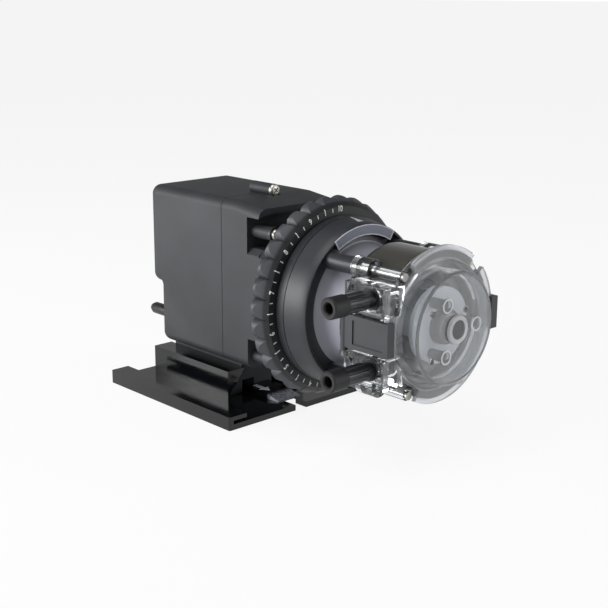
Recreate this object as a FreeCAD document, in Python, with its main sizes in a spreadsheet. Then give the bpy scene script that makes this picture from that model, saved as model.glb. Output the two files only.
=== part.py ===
import FreeCAD, Part
import math
import os
import re
import Sketcher

os.makedirs("parts", exist_ok=True)
doc = FreeCAD.newDocument("metering_pump")
V = FreeCAD.Vector

# Driving dimensions in millimetres and degrees
# Stations named with "at_" are distances ahead of the bracket's middle, towards the pump head
SIZES = [
    ("plate_width", 139.0), ("plate_depth", 137.0), ("plate_thick", 4.0), ("plate_corner", 1.5),
    ("lip_height", 9.4), ("lip_wall", 3.5), ("lip_flange", 2.9), ("lip_reach", 54.5),
    ("rail_outer", 36.3), ("rail_top", 23.8), ("rail_mouth", 20.6), ("rail_x_upper", 29.0),
    ("rail_z_upper", 13.2), ("rail_x_lower", 32.7), ("rail_z_lower", 9.6), ("rail_x_foot", 34.6),
    ("rail_z_foot", 6.3), ("at_rail_front", 26.8), ("rail_rear", 59.0), ("stop_thick", 3.7),
    ("stop_height", 14.0), ("notch_width", 10.0), ("screw_hole", 5.0), ("screw_sink", 9.6),
    ("screw_span_x", 28.0), ("screw_span_y", 50.0), ("screw_mid_y", 19.5),
    ("tongue_x", -5.0), ("tongue_width", 20.4), ("tongue_gap", 0.5), ("at_tongue_root", 10.5),
    ("at_tongue_tip", 56.5), ("at_tongue_ramp", 41.5), ("tongue_top", 8.0), ("tongue_tip_top", 4.7),
    ("tongue_low", 3.7), ("tongue_under", 2.9), ("tongue_root_under", 1.6),
    ("foot_gap", 0.6), ("foot_neck", 19.8), ("relief_half", 5.6), ("relief_height", 9.0),
    ("cover_bottom", 31.0), ("axis_rise", 54.0), ("axis_height", "cover_bottom + axis_rise"),
    ("cover_half", 37.0), ("cover_rise", 61.3), ("cover_top", "axis_height + cover_rise"),
    ("cover_rear", 60.0), ("cover_rear_low", 50.0), ("rear_wall", 4.4), ("foot_rear", 55.0),
    ("step_drop", 10.5), ("step_low", "axis_height - step_drop"),
    ("cover_wall", 3.0), ("cover_round", 7.0), ("seam_chamfer", 0.4), ("at_seam", 22.5),
    ("at_ridge", 36.0), ("at_case_step", 49.3), ("at_case_front", 61.0), ("hood_fall", 3.0),
    ("hood_front_top", "cover_top - hood_fall"), ("hood_thick", 4.0),
    ("hood_under", "hood_front_top - hood_thick"), ("pocket_drop", 32.0), ("pocket_rise", 31.0),
    ("pocket_low", "axis_height - pocket_drop"), ("pocket_high", "axis_height + pocket_rise"),
    ("corner_x", 28.8), ("corner_rise", 42.0), ("corner_drop", 45.5),
    ("corner_high", "axis_height + corner_rise"), ("corner_low", "axis_height - corner_drop"),
    ("corner_radius", 4.5), ("at_corner_end", 66.5), ("at_cavity_end", 47.0),
    ("column_inset", 7.0), ("column_x", "cover_half - column_inset"), ("column_edge", 7.2),
    ("column_high", "cover_top - column_edge"), ("column_low", "cover_bottom + column_edge + 1"),
    ("column_radius", 4.4), ("boss_rise", 2.9), ("boss_height", "cover_top + boss_rise"),
    ("boss_radius", 4.4), ("at_boss_front", 34.3), ("boss_rear", 8.5), ("small_screw", 1.6),
    ("gland_x", -28.5), ("gland_rise", 19.5), ("gland_height", "cover_bottom + gland_rise"),
    ("gland_radius", 4.25), ("gland_length", 19.5), ("gland_bore", 2.6), ("gland_depth", 10.0),
    ("gear_module", 0.7), ("pinion_teeth", 12.0), ("wheel_teeth", 72.0), ("centre_distance", 29.4),
    ("gear_backlash", 0.18), ("shaft_radius", 2.4), ("spindle_radius", 4.0), ("running_fit", 0.05),
    ("bush_radius", 6.5), ("post_radius", 2.5), ("plate_sheet", 2.0),
    ("core_half", 29.0), ("core_drop", 25.0), ("core_rise", 44.0),
    ("core_low", "axis_height - core_drop"), ("core_high", "axis_height + core_rise"),
    ("core_front", -8.0), ("core_rear", 20.0), ("rotor_radius", 15.9), ("rotor_gap", 0.4),
    ("bore_radius", "rotor_radius + rotor_gap"), ("window_half", 17.0), ("window_rise", 23.0),
    ("window_height", 10.0), ("window_low", "axis_height + window_rise"),
    ("window_high", "window_low + window_height"), ("bolt_x", 24.0), ("bolt_drop", 19.0),
    ("bolt_rise", 18.0), ("bolt_low", "axis_height - bolt_drop"),
    ("bolt_high", "axis_height + bolt_rise"), ("bolt_radius", 2.0), ("fan_radius", 28.0),
    ("fan_blades", 8.0),
    ("rim_radius", 50.0), ("drum_radius", 36.0), ("retainer_radius", 52.0), ("rim_wall", 3.5),
    ("at_dial_rear", 86.5), ("at_dial_front", 98.2), ("dial_gap", 0.3), ("dial_peak", 67.3),
    ("dial_valley", 62.4), ("lobe_radius", 6.7), ("lobe_count", 30.0), ("dial_turn", 236.2),
    ("dial_bevel", 2.0), ("dial_face", 61.2), ("dial_shoulder", 64.3), ("shoulder_depth", 2.7),
    ("taper_depth", 8.7), ("tab_width", 6.0),
    ("lip_radius", 55.7), ("at_lip_front", 105.5), ("at_rim_front", 122.5), ("rim_front_radius", 53.0),
    ("trough_outer", 51.4), ("trough_inner", 41.0), ("trough_depth", 4.5), ("neck_radius", 38.0),
    ("at_head_rear", 142.5), ("pad_inner", 46.1), ("pad_outer", 52.9), ("pad_angle", 31.0),
    ("stud_x", 30.0), ("stud_high", 34.0), ("stud_low", -41.0), ("stud_low_x", 24.0),
    ("stud_radius", 5.6), ("at_stud_end", 149.5), ("sleeve_radius", 7.2), ("sleeve_run", 3.4),
    ("at_sleeve_end", 160.0), ("head_screw_radius", 2.6), ("at_flange_rear", 180.5),
    ("at_flange_front", 182.5), ("head_flange", 47.8), ("barrel_radius", 44.5), ("barrel_wall", 2.6),
    ("head_rear_wall", 4.0), ("track_radius", 35.0), ("track_wall", 2.4),
    ("cover_flange", 49.5), ("at_cover_rear", 184.5), ("at_cover_flange", 187.5),
    ("cover_barrel", 35.6), ("cover_skin", 2.4), ("boss_ring", 4.7), ("at_cover_face", 199.5),
    ("at_hub_front", 201.5),
    ("tower_face", 52.0), ("tower_inner", 38.0), ("at_tower_rear", 156.1), ("at_tower_front", 188.5),
    ("tower_near", 13.3), ("tower_far", 31.0), ("tower_wall_gap", 0.6),
    ("at_fitting", 172.5), ("fitting_offset", 22.0), ("fitting_collar", 7.0), ("fitting_spigot", 4.6),
    ("fitting_seat", 69.4), ("nut_end", 82.0), ("nut_radius", 6.6), ("skirt_radius", 5.9),
    ("skirt_end", 53.4), ("thread_radius", 4.5), ("flute_count", 12.0), ("tower_recess", 5.5),
    ("port_radius", 3.3), ("port_mouth", 4.0),
    ("tube_bore", 2.75), ("tube_radius", 4.2), ("loop_radius", 30.0),
    ("tube_bend", 12.0), ("tube_start", 43.6),
    ("roller_offset", 18.5), ("roller_radius", 6.5), ("roller_length", 20.0), ("roller_pin", 2.0),
    ("hub_plate", 24.0), ("main_radius", 4.0), ("latch_out", 51.4), ("latch_in", 48.4),
    ("latch_half", 10.4), ("at_hinge", 154.0), ("hinge_x", 49.9), ("hinge_pin", 1.0),
    ("at_latch_front", 190.6), ("hook_reach", 44.6),
]
NAMES = {name for name, value in SIZES}

sheet = doc.addObject("Spreadsheet::Sheet", "dims")
for row, (name, value) in enumerate(SIZES, start=1):
    sheet.set("A%d" % row, name)
    sheet.set("B%d" % row, "=" + value if isinstance(value, str) else str(value))
    sheet.setAlias("B%d" % row, name)
doc.recompute()


def bind(text):
    """Expression text with every dimension name pointed at the sheet."""
    return re.sub(r"[a-z_]+", lambda m: "dims." + m.group() if m.group() in NAMES else m.group(), text)


def number(text):
    """Present value of an expression."""
    result = sheet.evalExpression(bind(str(text)))
    return float(getattr(result, "Value", result))


def new_body(label, lifted=False):
    """Body for one piece, with its origin on the pump axis where lifted."""
    body = doc.addObject("PartDesign::Body", label)
    body.Label = label
    if lifted:
        body.setExpression("Placement.Base.z", bind("axis_height"))
    return body


def origin_part(body, role):
    return [f for f in body.Origin.OriginFeatures if f.Role == role][0]


def sketch_on(body, plane, offset="0"):
    """Sketch on one of the body's own planes, moved along the plane's normal."""
    sketch = body.newObject("Sketcher::SketchObject", body.Name + "_sketch")
    sketch.AttachmentSupport = [(origin_part(body, plane + "_Plane"), "")]
    sketch.MapMode = "FlatFace"
    if offset != "0":
        sketch.setExpression("AttachmentOffset.Base.z", bind(offset))
    return sketch


def hold(sketch, geometry, point, x, y):
    """Fixes a point of the sketch at x, y, bound to the sheet."""
    for kind, text, axis in (("DistanceX", str(x), -2), ("DistanceY", str(y), -1)):
        if text == "0":
            sketch.addConstraint(Sketcher.Constraint("PointOnObject", geometry, point, axis))
            continue
        index = sketch.addConstraint(
            Sketcher.Constraint(kind, -1, 1, geometry, point, number(text)))
        if re.search("[a-z]", text):
            sketch.setExpression("Constraints[%d]" % index, bind(text))


def outline(sketch, points):
    """Closed polygon through the points."""
    first = sketch.GeometryCount
    spots = [V(number(x), number(y), 0) for x, y in points]
    count = len(points)
    for i in range(count):
        sketch.addGeometry(Part.LineSegment(spots[i], spots[(i + 1) % count]), False)
    for i in range(count):
        sketch.addConstraint(
            Sketcher.Constraint("Coincident", first + i, 2, first + (i + 1) % count, 1))
    for i, (x, y) in enumerate(points):
        hold(sketch, first + i, 1, x, y)


def rectangle(sketch, x0, x1, y0, y1):
    outline(sketch, [(x0, y0), (x1, y0), (x1, y1), (x0, y1)])


def circle(sketch, x, y, radius):
    index = sketch.addGeometry(
        Part.Circle(V(number(x), number(y), 0), V(0, 0, 1), number(radius)), False)
    rule = sketch.addConstraint(Sketcher.Constraint("Radius", index, number(radius)))
    if re.search("[a-z]", str(radius)):
        sketch.setExpression("Constraints[%d]" % rule, bind(str(radius)))
    hold(sketch, index, 3, x, y)


def grow(body, sketch, length, middle=False):
    """Pad along the sketch's normal, or both ways where middle is set."""
    feature = body.newObject("PartDesign::Pad", body.Name + "_pad")
    feature.Profile = sketch
    feature.setExpression("Length", bind(length))
    if middle:
        feature.SideType = "Symmetric"
    return feature


def cut(body, sketch, length, middle=False):
    """Pocket along the sketch's normal, or both ways where middle is set."""
    feature = body.newObject("PartDesign::Pocket", body.Name + "_pocket")
    feature.Profile = sketch
    feature.setExpression("Length", bind(length))
    if middle:
        feature.SideType = "Symmetric"
    else:
        feature.Reversed = True
    return feature


def turn(body, points, axis="H_Axis", groove=False, plane="YZ"):
    """Full revolution of a polygon about the sketch's own axis."""
    sketch = sketch_on(body, plane)
    outline(sketch, points)
    kind = "PartDesign::Groove" if groove else "PartDesign::Revolution"
    feature = body.newObject(kind, body.Name + "_turn")
    feature.Profile = sketch
    feature.ReferenceAxis = (sketch, [axis])
    feature.Angle = 360.0
    return feature


def repeat_round(body, features, count):
    """Polar pattern about the pump axis."""
    feature = body.newObject("PartDesign::PolarPattern", body.Name + "_ring")
    feature.Originals = features
    feature.Axis = (origin_part(body, "Y_Axis"), [""])
    feature.Angle = 360.0
    feature.setExpression("Occurrences", bind(count))
    body.Tip = feature
    return feature


def mirror_over(body, features, plane):
    feature = body.newObject("PartDesign::Mirrored", body.Name + "_mirror")
    feature.Originals = features
    feature.MirrorPlane = (origin_part(body, plane + "_Plane"), [""])
    body.Tip = feature
    return feature


def round_edges(body, radius, wanted):
    """Fillet on the edges of the tip that the test picks by their two end points."""
    doc.recompute()
    base = body.Tip
    names = []
    for i, edge in enumerate(base.Shape.Edges, start=1):
        ends = [v.Point for v in edge.Vertexes]
        if len(ends) == 2 and wanted(ends[0], ends[1]):
            names.append("Edge%d" % i)
    feature = body.newObject("PartDesign::Fillet", body.Name + "_fillet")
    feature.Base = (base, names)
    feature.setExpression("Radius", bind(radius))
    return feature


def bevel_seam(body, station):
    """Small chamfer round the outline where two mouldings meet."""
    doc.recompute()
    base = body.Tip
    names = []
    for i, edge in enumerate(base.Shape.Edges, start=1):
        if all(near(v.Point.y, -station) for v in edge.Vertexes):
            names.append("Edge%d" % i)
    feature = body.newObject("PartDesign::Chamfer", body.Name + "_chamfer")
    feature.Base = (base, names)
    feature.setExpression("Size", bind("seam_chamfer"))


def near(a, b):
    return abs(a - b) < 0.01


def rod(name, radius, start, stop, x="0", z="axis_height"):
    """Plain cylinder along Y between two stations ahead of the middle."""
    piece = doc.addObject("Part::Cylinder", name)
    piece.setExpression("Radius", bind(radius))
    piece.setExpression("Height", bind("(%s) - (%s)" % (stop, start)))
    piece.Placement = FreeCAD.Placement(V(0, 0, 0), FreeCAD.Rotation(V(1, 0, 0), 90))
    piece.setExpression("Placement.Base.x", bind(x))
    piece.setExpression("Placement.Base.y", bind("-(%s)" % start))
    piece.setExpression("Placement.Base.z", bind(z))
    return piece


def joined(name, pieces):
    piece = doc.addObject("Part::MultiFuse", name)
    piece.Shapes = pieces
    piece.Refine = True
    return piece


def taken(name, base, tool):
    piece = doc.addObject("Part::Cut", name)
    piece.Base = base
    piece.Tool = tool
    return piece


def grouped(label, pieces):
    piece = doc.addObject("Part::Compound", label)
    piece.Links = pieces
    piece.Label = label
    return piece


# Mounting bracket: plate with turned-in edges, dovetail rails and rear stop
bracket = new_body("mounting_bracket")
half = "plate_width / 2"
wall_in = "plate_width / 2 - lip_wall"
under = "lip_height - lip_flange"
sk = sketch_on(bracket, "XZ")
right = [(half, "0"), (half, "lip_height"), ("lip_reach", "lip_height"), ("lip_reach", under),
         (wall_in, under), (wall_in, "plate_thick")]
left = [("-(%s)" % x, z) for x, z in reversed(right)]
outline(sk, right + left)
grow(bracket, sk, "plate_depth", middle=True)
sk = sketch_on(bracket, "XZ", "-rail_rear")
rail = [("rail_outer", "plate_thick - 0.5"), ("rail_outer", "rail_top"), ("rail_mouth", "rail_top"),
        ("rail_x_upper", "rail_z_upper"), ("rail_x_lower", "rail_z_lower"),
        ("rail_x_foot", "rail_z_foot"), ("rail_x_foot", "plate_thick - 0.5")]
outline(sk, rail)
outline(sk, [("-(%s)" % x, z) for x, z in rail])
grow(bracket, sk, "rail_rear + at_rail_front")
sk = sketch_on(bracket, "XZ", "-rail_rear")
rectangle(sk, "-rail_x_foot - 0.5", "rail_x_foot + 0.5", "plate_thick - 0.5", "stop_height")
grow(bracket, sk, "stop_thick")
sk = sketch_on(bracket, "XY")
side_l = "tongue_x - tongue_width / 2 - tongue_gap"
side_r = "tongue_x + tongue_width / 2 + tongue_gap"
tip_y = "-(at_tongue_tip + 1)"
outline(sk, [(side_l, "-at_tongue_root + 0.3"), (side_l, tip_y),
             ("tongue_x - notch_width / 2", tip_y), ("tongue_x - notch_width / 2", "-plate_depth"),
             ("tongue_x + notch_width / 2", "-plate_depth"), ("tongue_x + notch_width / 2", tip_y),
             (side_r, tip_y), (side_r, "-at_tongue_root + 0.3")])
cut(bracket, sk, "plate_thick + 1")
sk = sketch_on(bracket, "XY", "plate_thick")
for sign_x in ("-", ""):
    for sign_y in ("-", "+"):
        circle(sk, sign_x + "screw_span_x / 2", "screw_mid_y %s screw_span_y / 2" % sign_y,
               "screw_hole / 2")
doc.recompute()
holes = bracket.newObject("PartDesign::Hole", "bracket_holes")
holes.Profile = sk
holes.DepthType = "ThroughAll"
holes.HoleCutType = "Countersink"
holes.HoleCutCountersinkAngle = 90
holes.setExpression("Diameter", bind("screw_hole"))
holes.setExpression("HoleCutDiameter", bind("screw_sink"))
round_edges(bracket, "plate_corner",
            lambda a, b: near(a.x, b.x) and near(a.y, b.y) and near(abs(a.x), number(half))
            and near(abs(a.y), number("plate_depth / 2")))

# Latch tongue: springy wedge that holds the foot back
tongue = new_body("latch_tongue")
sk = sketch_on(tongue, "YZ", "tongue_x - tongue_width / 2")
outline(sk, [("-at_tongue_root", "tongue_root_under"), ("-at_tongue_root", "tongue_low"),
             ("-(at_seam + 0.3)", "tongue_low"), ("-(at_seam + 0.3)", "tongue_top"),
             ("-at_tongue_ramp", "tongue_top"), ("-at_tongue_tip", "tongue_tip_top"),
             ("-at_tongue_tip", "tongue_under + 0.6"), ("-at_tongue_ramp", "tongue_under"),
             ("-(at_seam + 4)", "tongue_under")])
grow(tongue, sk, "tongue_width")

# Motor cover: moulded shell with the dovetail foot below it
cover = new_body("motor_cover")
sk = sketch_on(cover, "YZ")
outline(sk, [("-at_seam", "cover_bottom"), ("-at_seam", "cover_top"), ("cover_rear", "cover_top"),
             ("cover_rear", "step_low"), ("cover_rear_low", "step_low"),
             ("cover_rear_low", "cover_bottom")])
grow(cover, sk, "2 * cover_half", middle=True)
cover_side = number("cover_half")
round_edges(cover, "2", lambda a, b: near(a.y, b.y) and near(a.z, b.z)
            and near(a.y, number("cover_rear_low")) and near(a.z, number("step_low")))
round_edges(cover, "cover_round",
            lambda a, b: near(a.y, b.y) and near(a.z, b.z) and not near(a.x, b.x)
            and (near(a.y, number("cover_rear")) or near(a.z, number("cover_bottom")))
            and a.y > 0)
round_edges(cover, "cover_round",
            lambda a, b: near(abs(a.x), cover_side) and near(a.x, b.x)
            and not (near(a.y, number("-at_seam")) and near(b.y, number("-at_seam"))))
bevel_seam(cover, number("at_seam"))
sk = sketch_on(cover, "XZ", "-foot_rear")
foot = [("rail_x_foot - foot_gap", "plate_thick"), ("rail_x_foot - foot_gap", "rail_z_foot - 0.4"),
        ("rail_x_lower - foot_gap", "rail_z_lower - 0.5"),
        ("rail_x_upper - foot_gap", "rail_z_upper - 0.5"), ("foot_neck", "rail_top - 0.6"),
        ("foot_neck", "cover_bottom + 1")]
outline(sk, foot + [("-(%s)" % x, z) for x, z in reversed(foot)])
grow(cover, sk, "foot_rear + at_seam")
sk = sketch_on(cover, "XZ", "at_seam - boss_rear")
circle(sk, "0", "boss_height", "boss_radius")
grow(cover, sk, "boss_rear")
sk = sketch_on(cover, "YZ")
outline(sk, [("-at_seam - 1", "cover_bottom + cover_wall"), ("-at_seam - 1", "cover_top - cover_wall"),
             ("cover_rear - rear_wall", "cover_top - cover_wall"),
             ("cover_rear - rear_wall", "step_low + cover_round + 1"),
             ("cover_rear_low - rear_wall", "step_low + 1"),
             ("cover_rear_low - rear_wall", "cover_bottom + cover_wall")])
cut(cover, sk, "2 * (cover_half - cover_wall)", middle=True)
sk = sketch_on(cover, "XZ", "at_seam - boss_rear - 1")
circle(sk, "0", "boss_height", "small_screw")
cut(cover, sk, "boss_rear + 2")
sk = sketch_on(cover, "XZ", "-foot_rear - 1")
for s in ("-", ""):
    rectangle(sk, "%s(screw_span_x / 2 - relief_half)" % s, "%s(screw_span_x / 2 + relief_half)" % s,
              "plate_thick - 1", "plate_thick + relief_height")
cut(cover, sk, "foot_rear + at_seam + 2")
sk = sketch_on(cover, "XZ", "-cover_rear_low - 1")
circle(sk, "gland_x", "gland_height", "gland_radius - 0.7")
cut(cover, sk, "rear_wall + 2")

# Cord gland: blind strain-relief sleeve through the rear wall
gland = new_body("cord_gland")
gland.setExpression("Placement.Base.x", bind("gland_x"))
gland.setExpression("Placement.Base.z", bind("gland_height"))
inner = "cover_rear_low - rear_wall"
outer = "cover_rear_low"
end = "cover_rear_low + gland_length"
turn(gland, [(inner + " - 1.5", "0"), (inner + " - 1.5", "gland_radius + 0.6"),
             (inner, "gland_radius + 0.6"), (inner, "gland_radius - 0.7"),
             (outer, "gland_radius - 0.7"), (outer, "gland_radius + 0.4"),
             (outer + " + 1.6", "gland_radius + 0.4"), (outer + " + 2.2", "gland_radius"),
             (end + " - 3", "gland_radius"), (end + " - 1", "gland_radius - 0.9"),
             (end, "gland_bore + 0.3"), (end + " - 0.3", "gland_bore"),
             (end + " - gland_depth", "gland_bore"), (end + " - gland_depth", "0")])

# Gear case: walled box with a sloped hood, corner bosses and inner columns
case = new_body("gear_case")
sk = sketch_on(case, "YZ")
outline(sk, [("-at_seam", "cover_bottom"), ("-at_seam", "cover_top"), ("-at_ridge", "cover_top"),
             ("-at_case_front", "hood_front_top"), ("-at_case_front", "pocket_low"),
             ("-at_case_step", "pocket_low"), ("-at_case_step", "cover_bottom")])
grow(case, sk, "2 * cover_half", middle=True)
round_edges(case, "cover_round",
            lambda a, b: near(abs(a.x), cover_side) and near(a.x, b.x)
            and (min(a.z, b.z) > number("hood_front_top") - 0.1
                 or max(a.z, b.z) < number("cover_bottom") + 0.1))
bevel_seam(case, number("at_seam"))
sk = sketch_on(case, "XZ", "at_case_step")
arch = [("cover_half + 1", "pocket_high - 5"), ("cover_half - 4", "pocket_high")]
under = [("cover_half + 1", "hood_under - 2.6"), ("cover_half - 4", "hood_under - 1"),
         ("cover_half - 11", "hood_under - 0.2")]
outline(sk, [("-(%s)" % x, z) for x, z in arch] + list(reversed(arch)) + under
        + [("-(%s)" % x, z) for x, z in reversed(under)])
cut(case, sk, "at_case_front - at_case_step + 1")
sk = sketch_on(case, "YZ")
outline(sk, [("-at_seam + 1", "cover_bottom + cover_wall"), ("-at_seam + 1", "cover_top - cover_wall"),
             ("-at_ridge", "cover_top - cover_wall"), ("-at_cavity_end", "hood_front_top - 1.4"),
             ("-at_cavity_end", "cover_bottom + cover_wall")])
cut(case, sk, "2 * (cover_half - cover_wall)", middle=True)
sk = sketch_on(case, "XZ", "at_case_step - 1")
for x in ("-corner_x", "corner_x"):
    for z in ("corner_high", "corner_low"):
        circle(sk, x, z, "corner_radius")
grow(case, sk, "at_corner_end - at_case_step + 1")
sk = sketch_on(case, "XZ", "at_seam")
for x in ("-column_x", "column_x"):
    for z in ("column_high", "column_low"):
        circle(sk, x, z, "column_radius")
grow(case, sk, "at_cavity_end - at_seam + 1")
sk = sketch_on(case, "XZ", "at_seam")
circle(sk, "0", "boss_height", "boss_radius")
grow(case, sk, "at_boss_front - at_seam")
sk = sketch_on(case, "XZ", "at_boss_front")
circle(sk, "0", "boss_height", "boss_radius + 0.4")
cut(case, sk, "3.6")
sk = sketch_on(case, "XZ", "at_cavity_end - 1")
circle(sk, "0", "axis_height", "bush_radius")
cut(case, sk, "at_case_front - at_cavity_end + 2")
sk = sketch_on(case, "XZ", "at_cavity_end - 1")
circle(sk, "0", "axis_height + centre_distance", "post_radius")
cut(case, sk, "3")
sk = sketch_on(case, "XZ", "at_corner_end - 8")
for x in ("-corner_x", "corner_x"):
    for z in ("corner_high", "corner_low"):
        circle(sk, x, z, "small_screw")
cut(case, sk, "9")
sk = sketch_on(case, "XZ", "at_seam - 1")
circle(sk, "0", "boss_height", "small_screw")
cut(case, sk, "at_boss_front - at_seam + 2")
sk = sketch_on(case, "XZ", "at_seam - 1")
for x in ("-column_x", "column_x"):
    for z in ("column_high", "column_low"):
        circle(sk, x, z, "small_screw")
cut(case, sk, "9")

# Motor plate: steel partition that carries the motor and the gear post
plate = new_body("motor_plate")
sk = sketch_on(plate, "XZ", "at_seam - plate_sheet")
plate_half = "cover_half - cover_wall - 0.3"
rectangle(sk, "-(%s)" % plate_half, plate_half, "cover_bottom + cover_wall + 0.3",
          "cover_top - cover_wall - 0.3")
circle(sk, "0", "axis_height", "8")
circle(sk, "0", "axis_height + centre_distance", "post_radius")
for x in ("-bolt_x", "bolt_x"):
    for z in ("bolt_low", "bolt_high"):
        circle(sk, x, z, "bolt_radius")
for x in ("-column_x", "column_x"):
    for z in ("column_high", "column_low"):
        circle(sk, x, z, "small_screw")
grow(plate, sk, "plate_sheet")

# Gear post and the two bearings of the drive
rod("gear_post", "post_radius", "at_seam - plate_sheet", "at_cavity_end + 2",
    z="axis_height + centre_distance")
taken("spindle_bearing",
      rod("spindle_bush_skin", "bush_radius", "at_cavity_end - 2", "at_case_front + 1.5"),
      rod("spindle_bush_bore", "spindle_radius + running_fit", "at_cavity_end - 3",
          "at_case_front + 3"))


def screw(name, x, z, seat, length, head, radius, depth):
    """Pan-head screw with its head ahead of the seat station."""
    return joined(name, [rod(name + "_head", head, seat, "%s + %s" % (seat, depth), x, z),
                         rod(name + "_shank", radius, "%s - %s" % (seat, length), seat, x, z)])


# Motor: laminated core, coil, end brackets, bushes and long bolts
core = new_body("stator_core")
sk = sketch_on(core, "XZ", "-core_rear")
rectangle(sk, "-core_half", "core_half", "core_low", "core_high")
rectangle(sk, "-window_half", "window_half", "window_low", "window_high")
circle(sk, "0", "axis_height", "bore_radius")
for x in ("-bolt_x", "bolt_x"):
    for z in ("bolt_low", "bolt_high"):
        circle(sk, x, z, "bolt_radius")
grow(core, sk, "core_rear - core_front")

bobbin = new_body("coil_bobbin")
sk = sketch_on(bobbin, "YZ", "-window_half + 0.5")
rectangle(sk, "core_front - 1.2", "core_rear + 1.2", "window_high - 1.2", "core_high + 1.2")
rectangle(sk, "core_front", "core_rear", "window_high", "core_high")
grow(bobbin, sk, "2 * window_half - 1")
for x0 in ("-window_half + 0.5", "window_half - 2"):
    sk = sketch_on(bobbin, "YZ", x0)
    rectangle(sk, "core_front - 6.5", "core_rear + 6.5", "window_low + 1.5", "core_high + 8.5")
    rectangle(sk, "core_front - 1", "core_rear + 1", "window_high - 1", "core_high + 1")
    grow(bobbin, sk, "1.5")

coil = new_body("coil_winding")
sk = sketch_on(coil, "YZ", "-window_half + 2")
rectangle(sk, "core_front - 6", "core_rear + 6", "window_low + 2", "core_high + 8")
rectangle(sk, "core_front - 1.2", "core_rear + 1.2", "window_high - 1.2", "core_high + 1.2")
grow(coil, sk, "2 * window_half - 4")


def motor_bracket(label, plate_start, plate_stop, leg_start, leg_stop, boss_start, boss_stop):
    """End bracket with four legs to the core and a boss for the bush."""
    body = new_body(label)
    sk = sketch_on(body, "XZ", plate_start)
    outline(sk, [("-28", "62"), ("-20", "62"), ("-14", "73"), ("14", "73"), ("20", "62"),
                 ("28", "62"), ("28", "107"), ("20", "107"), ("14", "97"), ("-14", "97"),
                 ("-20", "107"), ("-28", "107")])
    grow(body, sk, "(%s) - (%s)" % (plate_stop, plate_start))
    sk = sketch_on(body, "XZ", leg_start)
    for x in ("-bolt_x", "bolt_x"):
        for z in ("bolt_low", "bolt_high"):
            circle(sk, x, z, "3.6")
    grow(body, sk, "(%s) - (%s)" % (leg_stop, leg_start))
    sk = sketch_on(body, "XZ", boss_start)
    circle(sk, "0", "axis_height", "8.5")
    grow(body, sk, "(%s) - (%s)" % (boss_stop, boss_start))
    sk = sketch_on(body, "XZ", "-core_rear - 12")
    circle(sk, "0", "axis_height", "5")
    for x in ("-bolt_x", "bolt_x"):
        for z in ("bolt_low", "bolt_high"):
            circle(sk, x, z, "bolt_radius")
    cut(body, sk, "core_rear + 12 + at_seam")
    return body


motor_bracket("front_motor_bracket", "-core_front + 4", "-core_front + 6.5", "-core_front",
              "at_seam - plate_sheet", "-core_front + 3.5", "-core_front + 9")
motor_bracket("rear_motor_bracket", "-core_rear - 6.5", "-core_rear - 4", "-core_rear - 6.5",
              "-core_rear", "-core_rear - 9", "-core_rear - 3.5")
bushes = []
for name, start in (("front_bush", "-core_front + 3.5"), ("rear_bush", "-core_rear - 9")):
    bushes.append(taken(name, rod(name + "_skin", "5", start, start + " + 5.5"),
                        rod(name + "_bore", "shaft_radius + running_fit", start + " - 1",
                            start + " + 7")))
grouped("motor_bushes", bushes)
bolts = []
for i, (x, z) in enumerate([("-bolt_x", "bolt_low"), ("bolt_x", "bolt_low"),
                            ("-bolt_x", "bolt_high"), ("bolt_x", "bolt_high")]):
    bolts.append(joined("long_bolt_%d" % i, [
        rod("long_bolt_head_%d" % i, "3.8", "-core_rear - 9.5", "-core_rear - 6.5", x, z),
        rod("long_bolt_shank_%d" % i, "bolt_radius", "-core_rear - 6.5", "at_seam", x, z)]))
grouped("motor_bolts", bolts)

# Rotor, shaft and fan
rotor = new_body("rotor_core", lifted=True)
turn(rotor, [("core_front", "shaft_radius"), ("core_front", "rotor_radius"),
             ("core_rear", "rotor_radius"), ("core_rear", "shaft_radius")])
rod("motor_shaft", "shaft_radius", "-core_rear - 24", "at_seam + 7.6")
fan = new_body("cooling_fan", lifted=True)
turn(fan, [("core_rear + 13", "shaft_radius"), ("core_rear + 13", "7"), ("core_rear + 14.5", "7"),
           ("core_rear + 14.5", "fan_radius"), ("core_rear + 15.5", "fan_radius"),
           ("core_rear + 15.5", "7"), ("core_rear + 22", "7"), ("core_rear + 22", "shaft_radius")])
sk = sketch_on(fan, "XZ", "-core_rear - 21.5")
outline(sk, [("-0.5", "6"), ("0.9", "6"), ("4.4", "26.5"), ("3", "26.8")])
blade = grow(fan, sk, "6.5")
repeat_round(fan, [blade], "fan_blades")


def flank(module, teeth, backlash, radius):
    """Half angle of a tooth at a radius, for 20 degree involute flanks."""
    pressure = math.radians(20)
    pitch = module * teeth / 2
    base = pitch * math.cos(pressure)
    inv = math.tan(pressure) - pressure
    half_pitch = (math.pi * module / 2 - backlash) / 2 / pitch
    if radius <= base:
        return half_pitch + inv
    local = math.acos(base / radius)
    return half_pitch + inv - (math.tan(local) - local)


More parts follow.
